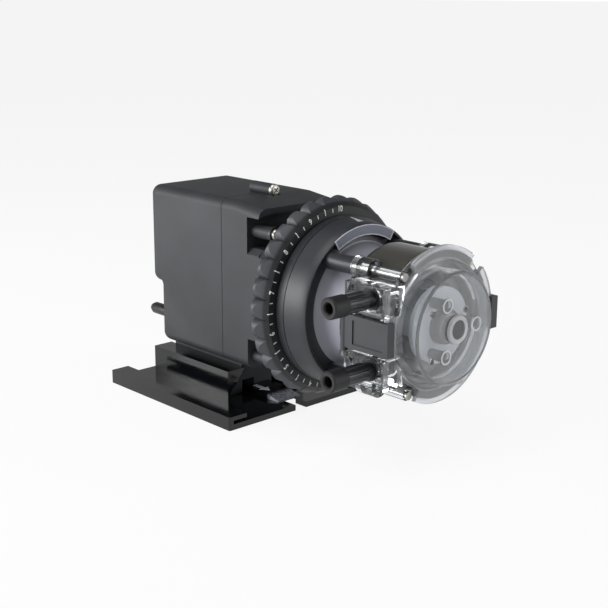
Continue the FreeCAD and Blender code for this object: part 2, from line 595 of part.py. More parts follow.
def gear(label, teeth, start, stop, bore, steps, turned=0.0):
    """Spur gear about the pump axis, one closed outline with every tooth."""
    module = number("gear_module")
    count = int(round(number(teeth)))
    pitch = module * count / 2
    tip = pitch + module * 0.9
    root = pitch - module * 1.15
    levels = [root + (tip - root) * i / steps for i in range(steps + 1)]
    points = []
    for tooth in range(count):
        middle = 2 * math.pi * tooth / count + turned
        for radius, sign in [(r, -1) for r in levels] + [(r, 1) for r in reversed(levels)]:
            angle = middle + sign * flank(module, count, number("gear_backlash"), radius)
            points.append(V(radius * math.sin(angle), 0, radius * math.cos(angle)))
    face = Part.Face(Part.makePolygon(points + [points[0]]))
    length = number(stop) - number(start)
    solid = face.extrude(V(0, -length, 0))
    hole = Part.makeCylinder(number(bore), length + 2, V(0, 1, 0), V(0, -1, 0))
    solid = solid.cut(hole)
    piece = doc.addObject("Part::Feature", label)
    piece.Shape = solid
    piece.setExpression("Placement.Base.y", bind("-(%s)" % start))
    piece.setExpression("Placement.Base.z", bind("axis_height"))
    return piece


pinion = gear("motor_pinion", "pinion_teeth", "at_seam + 1.5", "at_seam + 7.5", "shaft_radius", 3,
              math.pi / 12)
wheel = gear("wheel_teeth_ring", "wheel_teeth", "at_seam + 2", "at_seam + 7", "post_radius + running_fit",
             1)
small = gear("small_pinion_ring", "pinion_teeth", "at_seam + 7", "at_seam + 15",
             "post_radius + running_fit", 3)
for piece in (wheel, small):
    piece.setExpression("Placement.Base.z", bind("axis_height + centre_distance"))
joined("intermediate_gear", [wheel, small])
big = gear("spindle_wheel_ring", "wheel_teeth", "at_seam + 9", "at_seam + 14", "spindle_radius", 1,
           math.pi / 72)
hub = taken("spindle_hub", rod("spindle_hub_skin", "8", "at_seam + 13.5", "at_seam + 18"),
            rod("spindle_hub_bore", "spindle_radius", "at_seam + 8", "at_seam + 20"))
joined("spindle_gear", [big, hub])

# Output spindle with the drive disc, index pin and spring
spindle_end = "at_dial_rear - 6.5"
rod("output_spindle", "spindle_radius", "at_seam + 8.4", spindle_end)
disc = new_body("drive_disc", lifted=True)
turn(disc, [("-(at_case_front + 3)", "spindle_radius"), ("-(at_case_front + 3)", "9"),
            ("-(at_case_front + 13)", "9"), ("-(at_case_front + 13)", "24"),
            ("-(at_case_front + 16)", "24"), ("-(at_case_front + 16)", "10"),
            ("-(%s)" % spindle_end, "8"), ("-(%s)" % spindle_end, "spindle_radius")])
sk = sketch_on(disc, "XZ", "at_case_front + 7")
circle(sk, "0", "18", "4.6")
grow(disc, sk, "9")
sk = sketch_on(disc, "XZ", "at_case_front + 6")
circle(sk, "0", "18", "2.05")
cut(disc, sk, "12")
pin_z = "axis_height + 18"
joined("index_pin", [rod("index_pin_rod", "2", "at_case_front + 5", "at_dial_rear + 9", z=pin_z),
                     rod("index_pin_collar", "4.4", "at_dial_rear", "at_dial_rear + 1.5", z=pin_z)])
spring_start = number("at_case_front + 16.4")
spring_stop = number("at_dial_rear - 0.4")
turns = 5
steps = 9
coil_radius = 3.1
coil_points = []
for i in range(turns * steps + 1):
    angle = 2 * math.pi * i / steps
    coil_points.append(V(coil_radius * math.cos(angle), coil_radius * math.sin(angle),
                         (spring_stop - spring_start) * i / (turns * steps)))
wire_section = []
for i in range(6):
    angle = math.pi * i / 3
    wire_section.append(coil_points[0] + V(0.4 * math.cos(angle), 0, 0.4 * math.sin(angle)))
section = Part.makePolygon(wire_section + [wire_section[0]])
spring_shape = Part.makePolygon(coil_points).makePipeShell([section], True, False, 1)
spring = doc.addObject("Part::Feature", "index_spring")
spring.Shape = spring_shape
spring.Placement = FreeCAD.Placement(V(0, -spring_start, 0), FreeCAD.Rotation(V(1, 0, 0), 90))
spring.setExpression("Placement.Base.z", bind(pin_z))

# Rate control housing behind the dial, with four screwed ears
housing = new_body("control_housing", lifted=True)
front_end = "at_dial_front + dial_gap"
turn(housing, [("-at_case_front", "bush_radius + 1"), ("-at_case_front", "drum_radius"),
               ("-(at_dial_rear - 5)", "drum_radius"), ("-(at_dial_rear - 3)", "retainer_radius"),
               ("-(at_dial_rear - dial_gap)", "retainer_radius"),
               ("-(at_dial_rear - dial_gap)", "rim_radius"), ("-(%s)" % front_end, "rim_radius"),
               ("-(%s)" % front_end, "rim_radius - rim_wall"),
               ("-(at_dial_rear - 0.5)", "rim_radius - rim_wall"), ("-(at_dial_rear - 0.5)", "27.5"),
               ("-(at_case_front + 2.5)", "27.5"), ("-(at_case_front + 2.5)", "bush_radius + 1")])
sk = sketch_on(housing, "XZ", "at_case_front")
block = [("cover_half", "-pocket_drop"), ("cover_half", "pocket_rise - 5"),
         ("cover_half - 4", "pocket_rise")]
outline(sk, block + [("-(%s)" % x, z) for x, z in reversed(block)])
circle(sk, "0", "0", "drum_radius - 5")
grow(housing, sk, "at_dial_rear - 5 - at_case_front")
sk = sketch_on(housing, "XZ", "at_corner_end")
for x in ("-corner_x", "corner_x"):
    for z in ("corner_high - axis_height", "corner_low - axis_height"):
        circle(sk, x, z, "corner_radius + 0.6")
grow(housing, sk, "2")
sk = sketch_on(housing, "XZ", "at_corner_end")
for sx in (1, -1):
    for z, back in (("corner_high - axis_height", "24"), ("corner_low - axis_height", "-24")):
        outline(sk, [("%d * (corner_x - 3.2)" % sx, z), ("%d * (corner_x + 3.2)" % sx, z),
                     ("%d * 24" % sx, back), ("%d * 14" % sx, back)])
grow(housing, sk, "2")
sk = sketch_on(housing, "XZ", "at_corner_end - 1")
for x in ("-corner_x", "corner_x"):
    for z in ("corner_high - axis_height", "corner_low - axis_height"):
        circle(sk, x, z, "small_screw")
cut(housing, sk, "4")
sk = sketch_on(housing, "XZ", "at_dial_rear + 3.5")
slot_out = number("rim_radius") + 2
slot_in = number("rim_radius - rim_wall") - 2
slot_half = (number("dial_turn") + 12) / 2
slot_mid = 180.0
slot_points = []
for i in range(13):
    angle = math.radians(slot_mid - slot_half + 2 * slot_half * i / 12)
    slot_points.append(("%.3f" % (slot_out * 1.06 * math.sin(angle)),
                        "%.3f" % (slot_out * 1.06 * math.cos(angle))))
for i in range(13):
    angle = math.radians(slot_mid + slot_half - 2 * slot_half * i / 12)
    slot_points.append(("%.3f" % (slot_in * math.sin(angle)), "%.3f" % (slot_in * math.cos(angle))))
outline(sk, slot_points)
cut(housing, sk, "at_dial_front + 2 - at_dial_rear")

ear_screws = []
for i, (x, z) in enumerate([("-corner_x", "corner_high"), ("corner_x", "corner_high"),
                            ("-corner_x", "corner_low"), ("corner_x", "corner_low")]):
    ear_screws.append(screw("case_screw_%d" % i, x, z, "at_corner_end + 2", "9.5", "3.8",
                            "small_screw", "2.6"))
grouped("case_screws", ear_screws)
screw("cover_screw", "0", "boss_height", "at_boss_front", "19", "4.5", "small_screw", "2.8")
plate_screw_list = []
for i, (x, z) in enumerate([("-column_x", "column_high"), ("column_x", "column_high"),
                            ("-column_x", "column_low"), ("column_x", "column_low")]):
    plate_screw_list.append(joined("plate_screw_%d" % i, [
        rod("plate_screw_head_%d" % i, "3", "at_seam - plate_sheet - 1.8", "at_seam - plate_sheet", x, z),
        rod("plate_screw_shank_%d" % i, "small_screw", "at_seam - plate_sheet", "at_seam + 7.8", x, z)]))
grouped("plate_screws", plate_screw_list)

# Dial ring with grip lobes and an inner drive tab
dial = new_body("dial_ring", lifted=True)
turn(dial, [("-at_dial_rear", "rim_radius + dial_gap"), ("-at_dial_rear", "dial_valley"),
            ("-at_dial_front", "dial_valley"), ("-at_dial_front", "rim_radius + dial_gap")])
sk = sketch_on(dial, "XZ", "at_dial_rear")
lobe_out = "(dial_peak - lobe_radius)"
circle(sk, lobe_out + " * sin(8)", lobe_out + " * cos(8)", "lobe_radius")
lobe = grow(dial, sk, "at_dial_front - at_dial_rear")
repeat_round(dial, [lobe], "lobe_count")
turn(dial, [("-(at_dial_front + 1)", "dial_face - 1"), ("-at_dial_front", "dial_face"),
            ("-(at_dial_front - shoulder_depth)", "dial_shoulder"),
            ("-(at_dial_front - taper_depth)", "dial_peak + 0.3"),
            ("-(at_dial_front + 1)", "dial_peak + 3")], groove=True)
turn(dial, [("-(at_dial_rear - 1)", "dial_peak - dial_bevel - 1"),
            ("-(at_dial_rear + dial_bevel * 0.8)", "dial_peak + 0.3"),
            ("-(at_dial_rear - 1)", "dial_peak + 3")], groove=True)
sk = sketch_on(dial, "XZ", "at_dial_rear")
circle(sk, "0", "0", "rim_radius + dial_gap")
cut(dial, sk, "at_dial_front - at_dial_rear + 1")
tab_angle = math.radians(180.0 - number("dial_turn") / 2)
tab_way = V(math.sin(tab_angle), 0, math.cos(tab_angle))
sk = sketch_on(dial, "XZ", "at_dial_rear + 4.2")
tab_root = number("rim_radius + dial_gap + 1.5")
tab_tip = number("rim_radius - rim_wall - 0.3")
corners = []
for out, across in ((tab_root, -0.5), (tab_root, 0.5), (tab_tip, 0.5), (tab_tip, -0.5)):
    side = number("tab_width") * across
    corners.append(("%.3f" % (tab_way.x * out + tab_way.z * side),
                    "%.3f" % (tab_way.z * out - tab_way.x * side)))
outline(sk, corners)
grow(dial, sk, "at_dial_front - at_dial_rear - 5")

# Variable cam turned by the dial's tab
cam = new_body("variable_cam", lifted=True)
turn(cam, [("-(at_dial_rear + 4.2)", "31"), ("-(at_dial_rear + 4.2)", "rim_radius - rim_wall - 0.3"),
           ("-(at_dial_front - 0.8)", "rim_radius - rim_wall - 0.3"), ("-(at_dial_front - 0.8)", "31")])

# Index plate and main shaft
index_plate = new_body("index_plate", lifted=True)
turn(index_plate, [("-(at_dial_rear + 4)", "main_radius"), ("-(at_dial_rear + 4)", "8"),
                   ("-(at_dial_rear + 6)", "8"), ("-(at_dial_rear + 6)", "26"),
                   ("-(at_dial_rear + 9)", "26"), ("-(at_dial_rear + 9)", "9"),
                   ("-(at_dial_rear + 11.4)", "9"), ("-(at_dial_rear + 11.4)", "main_radius")])
sk = sketch_on(index_plate, "XZ", "at_dial_rear + 3")
circle(sk, "0", "18", "2.4")
hole = cut(index_plate, sk, "10")
repeat_round(index_plate, [hole], "12")
rod("main_shaft", "main_radius", "at_dial_rear + 1", "at_cover_face - 1.5")

# Front housing: bowl with a trough, a central neck, screw studs and a raised pad
front = new_body("front_housing", lifted=True)
floor_at = "at_rim_front - trough_depth"
turn(front, [("-(%s)" % front_end, "10"), ("-(%s)" % front_end, "lip_radius - 0.6"),
             ("-(%s + 0.6)" % front_end, "lip_radius"), ("-at_lip_front", "lip_radius"),
             ("-at_lip_front", "lip_radius - 0.7"), ("-(at_lip_front + 0.6)", "lip_radius - 0.7"),
             ("-(at_lip_front + 0.6)", "lip_radius"), ("-(at_rim_front - 1.2)", "rim_front_radius + 0.3"),
             ("-at_rim_front", "rim_front_radius - 0.5"), ("-at_rim_front", "trough_outer"),
             ("-(%s + 1.5)" % floor_at, "trough_outer - 1.4"), ("-(%s)" % floor_at, "trough_outer - 3.5"),
             ("-(%s)" % floor_at, "trough_inner + 2"), ("-(%s + 1)" % floor_at, "trough_inner"),
             ("-(%s + 4)" % floor_at, "neck_radius + 1"), ("-(%s + 8)" % floor_at, "neck_radius"),
             ("-at_head_rear", "neck_radius"), ("-at_head_rear", "7"),
             ("-(%s + 4)" % front_end, "7"), ("-(%s + 4)" % front_end, "10")])
sk = sketch_on(front, "XZ", floor_at + " - 0.5")
pad_points = []
for i in range(9):
    angle = math.radians(number("pad_angle") * (i / 4.0 - 1))
    pad_points.append(("pad_outer * %.6f" % math.sin(angle), "pad_outer * %.6f" % math.cos(angle)))
for i in range(9):
    angle = math.radians(number("pad_angle") * (1 - i / 4.0))
    pad_points.append(("pad_inner * %.6f" % math.sin(angle), "pad_inner * %.6f" % math.cos(angle)))
pad_points = [(x if abs(number(x)) > 1e-6 else "0", z) for x, z in pad_points]
outline(sk, pad_points)
grow(front, sk, "trough_depth + 0.5")
sk = sketch_on(front, "XZ", floor_at + " - 0.5")
for x, z in (("-stud_x", "stud_high"), ("stud_x", "stud_high"),
             ("-stud_low_x", "stud_low"), ("stud_low_x", "stud_low")):
    circle(sk, x, z, "stud_radius")
grow(front, sk, "at_stud_end - (%s) + 0.5" % floor_at)
taken("shaft_bearing",
      rod("shaft_bush_skin", "7", "at_head_rear - 18", "at_head_rear"),
      rod("shaft_bush_bore", "main_radius + running_fit", "at_head_rear - 20", "at_head_rear + 2"))

# Tube housing: clear rear half of the pump head
head = new_body("tube_housing", lifted=True)
turn(head, [("-at_head_rear", "7.3"), ("-at_head_rear", "barrel_radius - 2"),
            ("-(at_head_rear + 2)", "barrel_radius"), ("-at_flange_rear", "barrel_radius"),
            ("-at_flange_rear", "head_flange"), ("-at_flange_front", "head_flange"),
            ("-at_flange_front", "barrel_radius - barrel_wall"),
            ("-(at_head_rear + head_rear_wall)", "barrel_radius - barrel_wall"),
            ("-(at_head_rear + head_rear_wall)", "7.3")])
sk = sketch_on(head, "XZ", "at_tower_rear")
for s in ("", "-"):
    near_z = "%s(tower_near)" % s
    far_z = "%s(tower_far)" % s
    outline(sk, [("-tower_face", near_z), ("-tower_inner", near_z), ("-tower_inner + 3.5", far_z),
                 ("-tower_face", far_z)])
grow(head, sk, "at_tower_front - at_tower_rear")
sk = sketch_on(head, "XZ", "at_head_rear + head_rear_wall")
circle(sk, "0", "0", "barrel_radius - barrel_wall")
cut(head, sk, "at_tower_front - at_head_rear")
for s in ("", "-"):
    sk = sketch_on(head, "YZ", "-tower_face - 1")
    circle(sk, "-at_fitting", s + "fitting_offset", "fitting_spigot + 0.05")
    cut(head, sk, "tower_face - tower_inner + 14")
    sk = sketch_on(head, "YZ", "-tower_face - 1")
    rectangle(sk, "-(at_tower_front - 1.8)", "-(at_tower_rear + 1.8)",
              "%s(tower_near + 1)" % s, "%s(tower_far - 1)" % s)
    cut(head, sk, "tower_recess + 1")
sk = sketch_on(head, "XY", "-tower_near - 3")
for s in ("-", ""):
    rectangle(sk, "%s(barrel_radius - 4.5)" % s, "%s(latch_out + 0.3)" % s,
              "-(at_tower_rear + 1)", "-(at_hinge - 2.6)")
ear_low = grow(head, sk, "3")
mirror_over(head, [ear_low], "XY")
sk = sketch_on(head, "XY", "-tower_far")
for s in ("-", ""):
    circle(sk, "%shinge_x" % s, "-at_hinge", "hinge_pin")
cut(head, sk, "2 * tower_far")
sk = sketch_on(head, "XZ", "at_stud_end - 4")
STUDS = [("-stud_x", "stud_high"), ("stud_x", "stud_high"), ("-stud_low_x", "stud_low"),
         ("stud_low_x", "stud_low")]
for x, z in STUDS:
    circle(sk, x, z, "sleeve_radius")
grow(head, sk, "at_sleeve_end - at_stud_end + 4")
sk = sketch_on(head, "XZ", "at_sleeve_end - 1")
for x, z in STUDS:
    circle(sk, x, z, "sleeve_run")
grow(head, sk, "at_flange_front - at_sleeve_end + 1")
sk = sketch_on(head, "XZ", "at_head_rear - 1")
for x, z in STUDS:
    circle(sk, x, z, "stud_radius + 0.05")
cut(head, sk, "at_stud_end - at_head_rear + 1")
sk = sketch_on(head, "XZ", "at_stud_end - 1")
for x, z in STUDS:
    circle(sk, x, z, "small_screw + 0.1")
cut(head, sk, "at_flange_front - at_stud_end + 2")
sk = sketch_on(head, "XZ", "at_head_rear + head_rear_wall - 0.5")
circle(sk, "0", "0", "track_radius")
circle(sk, "0", "0", "track_radius + track_wall")
grow(head, sk, "at_flange_rear - at_head_rear - head_rear_wall")
sk = sketch_on(head, "XZ", "at_head_rear + head_rear_wall")
rectangle(sk, "-track_radius - 4", "-20.5", "-29", "29")
cut(head, sk, "at_flange_front - at_head_rear")

# Front housing screw holes continue into the studs
sk = sketch_on(front, "XZ", "at_stud_end - 16")
for x, z in STUDS:
    circle(sk, x, z, "1.5")
cut(front, sk, "17")
head_screws = []
for i, (x, z) in enumerate(STUDS):
    head_screws.append(screw("head_screw_%d" % i, x, "axis_height + (%s)" % z, "at_flange_front",
                             "48", "head_screw_radius", "1.5", "1.8"))
grouped("head_screws", head_screws)

# Latch hinge pins
pins = []
for i, s in enumerate(("-", "")):
    pin = doc.addObject("Part::Cylinder", "latch_pin_%d" % i)
    pin.setExpression("Radius", bind("hinge_pin"))
    pin.setExpression("Height", bind("2 * tower_near + 6"))
    pin.setExpression("Placement.Base.x", bind("%shinge_x" % s))
    pin.setExpression("Placement.Base.y", bind("-at_hinge"))
    pin.setExpression("Placement.Base.z", bind("axis_height - tower_near - 3"))
    pins.append(pin)
grouped("latch_pins", pins)


def latch(label, s):
    """Side latch: panel with a hinge knuckle at the rear and a hook at the front."""
    body = new_body(label, lifted=True)
    sk = sketch_on(body, "XY")
    outline(sk, [("%slatch_out" % s, "-(at_hinge - 1)"), ("%slatch_out" % s, "-at_latch_front"),
                 ("%s(hook_reach + 0.8)" % s, "-at_latch_front"),
                 ("%shook_reach" % s, "-(at_cover_flange + 1.2)"),
                 ("%shook_reach" % s, "-(at_cover_flange + 0.3)"),
                 ("%slatch_in" % s, "-(at_cover_flange + 0.3)"), ("%slatch_in" % s, "-(at_hinge - 1)")])
    grow(body, sk, "2 * latch_half", middle=True)
    sk = sketch_on(body, "XY")
    circle(sk, "%shinge_x" % s, "-at_hinge", "2.3")
    grow(body, sk, "2 * (tower_near - 0.4)", middle=True)
    sk = sketch_on(body, "XY")
    circle(sk, "%shinge_x" % s, "-at_hinge", "hinge_pin + running_fit")
    cut(body, sk, "3 * tower_near", middle=True)
    sk = sketch_on(body, "YZ", "latch_out - 0.8" if s == "" else "-latch_out - 0.5")
    rectangle(sk, "-(at_latch_front - 4)", "-(at_hinge + 8)", "-latch_half + 3", "latch_half - 3")
    cut(body, sk, "1.3")
    return body


latch("left_latch", "-")
latch("right_latch", "")

# Tube fittings, ferrules and nuts on the left side of the head
ferrules = []
for side, sign in (("upper", "+"), ("lower", "-")):
    centre = "axis_height %s fitting_offset" % sign
    fitting = new_body(side + "_fitting")
    nut = new_body(side + "_nut")
    ferrule = new_body(side + "_ferrule")
    for body in (fitting, nut, ferrule):
        body.setExpression("Placement.Base.y", bind("-at_fitting"))
        body.setExpression("Placement.Base.z", bind(centre))
    turn(fitting, [("-(nut_end - 3)", "port_radius"), ("-(nut_end - 3)", "thread_radius"),
                   ("-(skirt_end - 0.3)", "thread_radius"), ("-(skirt_end - 0.3)", "5.2"),
                   ("-(tower_face - tower_recess + 1)", "5.2"),
                   ("-(tower_face - tower_recess + 1)", "fitting_collar"),
                   ("-(tower_face - tower_recess)", "fitting_collar"),
                   ("-(tower_face - tower_recess)", "fitting_spigot"),
                   ("-tube_start", "fitting_spigot"), ("-tube_start", "tube_bore - 0.05"),
                   ("-(tube_start - 7)", "tube_bore - 0.05"), ("-(tube_start - 7)", "1.9"),
                   ("-66", "1.9"), ("-66", "port_radius")], plane="XZ")
    turn(nut, [("-nut_end", "port_mouth"), ("-nut_end", "nut_radius - 0.8"),
               ("-(nut_end - 0.8)", "nut_radius"), ("-(fitting_seat + 0.5)", "nut_radius"),
               ("-fitting_seat", "nut_radius - 0.3"), ("-fitting_seat", "skirt_radius"),
               ("-skirt_end", "skirt_radius"), ("-skirt_end", "thread_radius + 0.05"),
               ("-(nut_end - 1.8)", "thread_radius + 0.05"),
               ("-(nut_end - 1.8)", "port_radius"), ("-(nut_end - 1)", "port_radius")], plane="XZ")
    sk = sketch_on(nut, "YZ", "-fitting_seat + 0.4")
    circle(sk, "0", "skirt_radius + 0.3", "0.8")
    flute = cut(nut, sk, "fitting_seat - skirt_end")
    feature = nut.newObject("PartDesign::PolarPattern", nut.Name + "_flutes")
    feature.Originals = [flute]
    feature.Axis = (origin_part(nut, "X_Axis"), [""])
    feature.Angle = 360.0
    feature.setExpression("Occurrences", bind("flute_count"))
    nut.Tip = feature
    turn(ferrule, [("-(nut_end - 1.8)", "port_radius"), ("-(nut_end - 1.8)", "thread_radius - 0.1"),
                   ("-(nut_end - 3)", "thread_radius - 0.4"), ("-(nut_end - 3)", "port_radius")],
         plane="XZ")
    ferrules.append(ferrule)
grouped("ferrules", ferrules)

# Pump tube: loop around the rollers
reach = number("loop_radius")
bend = number("tube_bend")
lead = number("fitting_offset")
swing = math.degrees(math.acos((lead + bend) / (reach + bend)))
bend_x = "sqrt((loop_radius + tube_bend)^2 - (fitting_offset + tube_bend)^2)"
bend_z = "(fitting_offset + tube_bend)"


def tube_part(name, radius):
    """Solid core of the tube at one radius: two leads, two bends and the loop."""
    pieces = []
    for i, s in enumerate(("", "-")):
        lead_piece = doc.addObject("Part::Cylinder", "%s_lead_%d" % (name, i))
        lead_piece.setExpression("Radius", bind(radius))
        lead_piece.setExpression("Height", bind("tube_start - " + bend_x))
        lead_piece.Placement = FreeCAD.Placement(V(0, 0, 0), FreeCAD.Rotation(V(0, 1, 0), 90))
        lead_piece.setExpression("Placement.Base.x", bind("-tube_start"))
        lead_piece.setExpression("Placement.Base.z", bind("axis_height + %s(fitting_offset)" % s))
        bend_piece = doc.addObject("Part::Torus", "%s_bend_%d" % (name, i))
        bend_piece.setExpression("Radius1", bind("tube_bend"))
        bend_piece.Angle3 = swing
        start = 270.0 if s == "" else 90.0 - swing
        bend_piece.Placement = FreeCAD.Placement(
            V(0, 0, 0), FreeCAD.Rotation(V(1, 0, 0), 90) * FreeCAD.Rotation(V(0, 0, 1), start))
        bend_piece.setExpression("Placement.Base.x", bind("-" + bend_x))
        bend_piece.setExpression("Placement.Base.z", bind("axis_height + %s%s" % (s, bend_z)))
        pieces += [lead_piece, bend_piece]
    loop = doc.addObject("Part::Torus", name + "_loop")
    loop.setExpression("Radius1", bind("loop_radius"))
    loop.Angle3 = 180 + 2 * swing
    loop.Placement = FreeCAD.Placement(
        V(0, 0, 0), FreeCAD.Rotation(V(1, 0, 0), 90) * FreeCAD.Rotation(V(0, 0, 1), -90 - swing))
    loop.setExpression("Placement.Base.z", bind("axis_height"))
    pieces.append(loop)
    for piece in pieces:
        piece.setExpression("Placement.Base.y", bind("-at_fitting"))
        if piece.TypeId == "Part::Torus":
            piece.setExpression("Radius2", bind(radius))
    return joined(name, pieces)


taken("pump_tube", tube_part("tube_outside", "tube_radius"), tube_part("tube_inside", "tube_bore"))

# Roller assembly
carrier = new_body("roller_hub", lifted=True)
rear_plate = "at_fitting - roller_length / 2 - 4"
front_plate = "at_fitting + roller_length / 2 + 1"
turn(carrier, [("-(%s - 5)" % rear_plate, "main_radius"), ("-(%s - 5)" % rear_plate, "8"),
               ("-(%s)" % rear_plate, "8"), ("-(%s)" % rear_plate, "hub_plate"),
               ("-(%s + 3)" % rear_plate, "hub_plate"), ("-(%s + 3)" % rear_plate, "8"),
               ("-(%s)" % front_plate, "8"), ("-(%s)" % front_plate, "hub_plate"),
               ("-(%s + 3)" % front_plate, "hub_plate"), ("-(%s + 3)" % front_plate, "11.5"),
               ("-(at_cover_face - 8)", "11"), ("-(at_cover_face - 8)", "main_radius")])
sk = sketch_on(carrier, "XZ", rear_plate + " - 1")
SPOTS = []
for angle in (-30, 90, 210):
    SPOTS.append(("roller_offset * sin(%d)" % angle, "roller_offset * cos(%d)" % angle))
for x, z in SPOTS:
    circle(sk, x, z if z.find("(90)") < 0 else "0", "roller_pin")
cut(carrier, sk, "roller_length + 12")
sk = sketch_on(carrier, "XZ", front_plate + " + 2")
for x, z in SPOTS:
    circle(sk, x, z if z.find("(90)") < 0 else "0", "boss_ring - 1.3")
grow(carrier, sk, "at_cover_face - cover_skin - 0.8 - (%s + 2)" % front_plate)
sk = sketch_on(carrier, "XZ", front_plate + " - 1")
for x, z in SPOTS:
    circle(sk, x, z if z.find("(90)") < 0 else "0", "roller_pin")
cut(carrier, sk, "7")
roller_pins = []
for i, (x, z) in enumerate(SPOTS):
    height = "axis_height + " + z
    roller_pins.append(rod("roller_pin_%d" % i, "roller_pin", rear_plate, front_plate + " + 4", x, height))
    name = "roller_%s" % "abc"[i]
    taken(name, rod(name + "_skin", "roller_radius", "at_fitting - roller_length / 2",
                    "at_fitting + roller_length / 2", x, height),
          rod(name + "_bore", "roller_pin + running_fit", "at_fitting - roller_length",
              "at_fitting + roller_length", x, height))
grouped("roller_pins", roller_pins)

# Head cover: clear front half with its own barrel, face bosses and flats for the latches
lid = new_body("head_cover", lifted=True)
skin = "at_cover_face - cover_skin"
inner_r = "cover_barrel - cover_skin"
turn(lid, [("-at_hub_front", "0"), ("-at_hub_front", "8.6"), ("-at_cover_face", "9.4"),
           ("-at_cover_face", "cover_barrel - 1.6"), ("-(at_cover_face - 1.3)", "cover_barrel"),
           ("-at_cover_flange", "cover_barrel"), ("-at_cover_flange", "cover_flange"),
           ("-at_cover_rear", "cover_flange"), ("-at_cover_rear", "head_flange - 1.3"),
           ("-at_flange_front", "head_flange - 1.3"),
           ("-at_flange_front", "barrel_radius - barrel_wall - 0.3"),
           ("-(at_flange_front - 4.5)", "barrel_radius - barrel_wall - 0.3"),
           ("-(at_flange_front - 4.5)", "barrel_radius - barrel_wall - 2.3"),
           ("-(at_cover_rear + 0.1)", "barrel_radius - barrel_wall - 2.3"),
           ("-(at_cover_rear + 0.1)", inner_r), ("-(%s)" % skin, inner_r), ("-(%s)" % skin, "9"),
           ("-(at_cover_face - 7.3)", "9"), ("-(at_cover_face - 7.3)", "6"),
           ("-(at_cover_face - 0.5)", "6"), ("-(at_cover_face - 0.5)", "0")])
sk = sketch_on(lid, "XZ", "at_flange_front - 6")
for s in ("", "-"):
    outline(sk, [("-60", "%s(tower_near - tower_wall_gap)" % s),
                 ("-tower_inner + 1", "%s(tower_near - tower_wall_gap)" % s),
                 ("-tower_inner + 4.9", "%s(tower_far + tower_wall_gap)" % s),
                 ("-60", "%s(tower_far + tower_wall_gap)" % s)])
cut(lid, sk, "at_cover_flange - at_flange_front + 8")
sk = sketch_on(lid, "XZ", "at_flange_front - 1")
for s in ("", "-"):
    rectangle(sk, "%s(latch_in - 0.4)" % s, "%s60" % s, "-(tower_near - 0.2)", "tower_near - 0.2")
cut(lid, sk, "at_cover_flange - at_flange_front + 2")
sk = sketch_on(lid, "XZ", "at_flange_front - 0.5")
for low, high in ((-55, -32), (37, 52), (-154, -125)):
    notch = []
    for radius, angle in ((42.0, low), (56.0, low), (56.0, high), (42.0, high)):
        notch.append(("%.3f" % (radius * math.sin(math.radians(angle))),
                      "%.3f" % (radius * math.cos(math.radians(angle)))))
    outline(sk, notch)
cut(lid, sk, "at_cover_flange - at_flange_front + 1")
sk = sketch_on(lid, "XZ", "at_flange_front - 0.5")
circle(sk, "stud_low_x", "stud_low", "head_screw_radius + 0.4")
cut(lid, sk, "2.8")
sk = sketch_on(lid, "XZ", skin + " - 1")
for radius, angle in ((25.3, -59), (13.9, 40), (27.0, -127)):
    circle(sk, "%.3f" % (radius * math.sin(math.radians(angle))),
           "%.3f" % (radius * math.cos(math.radians(angle))), "1.9")
cut(lid, sk, "cover_skin + 2")
sk = sketch_on(lid, "XZ", "at_cover_face - 0.5")
for x, z in SPOTS:
    height = z if z.find("(90)") < 0 else "0"
    circle(sk, x, height, "boss_ring")
    circle(sk, x, height, "boss_ring - 1.2")
grow(lid, sk, "1.3")
taken("cover_bearing",
      rod("cover_bush_skin", "6", "at_cover_face - 7.3", "at_cover_face - 0.5"),
      rod("cover_bush_bore", "main_radius + running_fit", "at_cover_face - 9", "at_cover_face - 1"))

doc.recompute()
NODES = ["mounting_bracket", "latch_tongue", "motor_cover", "cord_gland", "gear_case", "motor_plate",
         "gear_post", "spindle_bearing", "stator_core", "coil_bobbin", "coil_winding",
         "front_motor_bracket", "rear_motor_bracket", "motor_bushes", "motor_bolts", "rotor_core",
         "motor_shaft", "cooling_fan", "motor_pinion", "intermediate_gear", "spindle_gear",
         "output_spindle", "drive_disc", "index_pin", "index_spring", "control_housing",
         "case_screws", "cover_screw", "plate_screws", "dial_ring", "variable_cam", "index_plate",
         "main_shaft", "front_housing", "shaft_bearing", "tube_housing", "head_screws",
         "latch_pins", "left_latch", "right_latch", "upper_fitting", "lower_fitting",
         "upper_nut", "lower_nut", "ferrules", "pump_tube", "roller_hub", "roller_a",
         "roller_b", "roller_c", "roller_pins", "head_cover", "cover_bearing"]
faults = []
for item in doc.Objects:
    if "Invalid" in item.State or "Error" in item.State:
        faults.append("%s %s" % (item.Name, item.State))
    if hasattr(item, "Shape") and item.Shape.isNull():
        if not item.isDerivedFrom("App::OriginFeature"):
            faults.append("%s has no shape" % item.Name)
if faults:
    raise RuntimeError("; ".join(faults))
for name in NODES:
    item = doc.getObject(name)
    shape = item.Shape
    if shape.isNull() or not shape.isValid() or shape.Volume <= 0:
        raise RuntimeError("bad shape in " + name)
    print(name, len(shape.Solids), "solids", round(shape.Volume, 1), "mm3")
    shape.exportStep("parts/%s.step" % name)
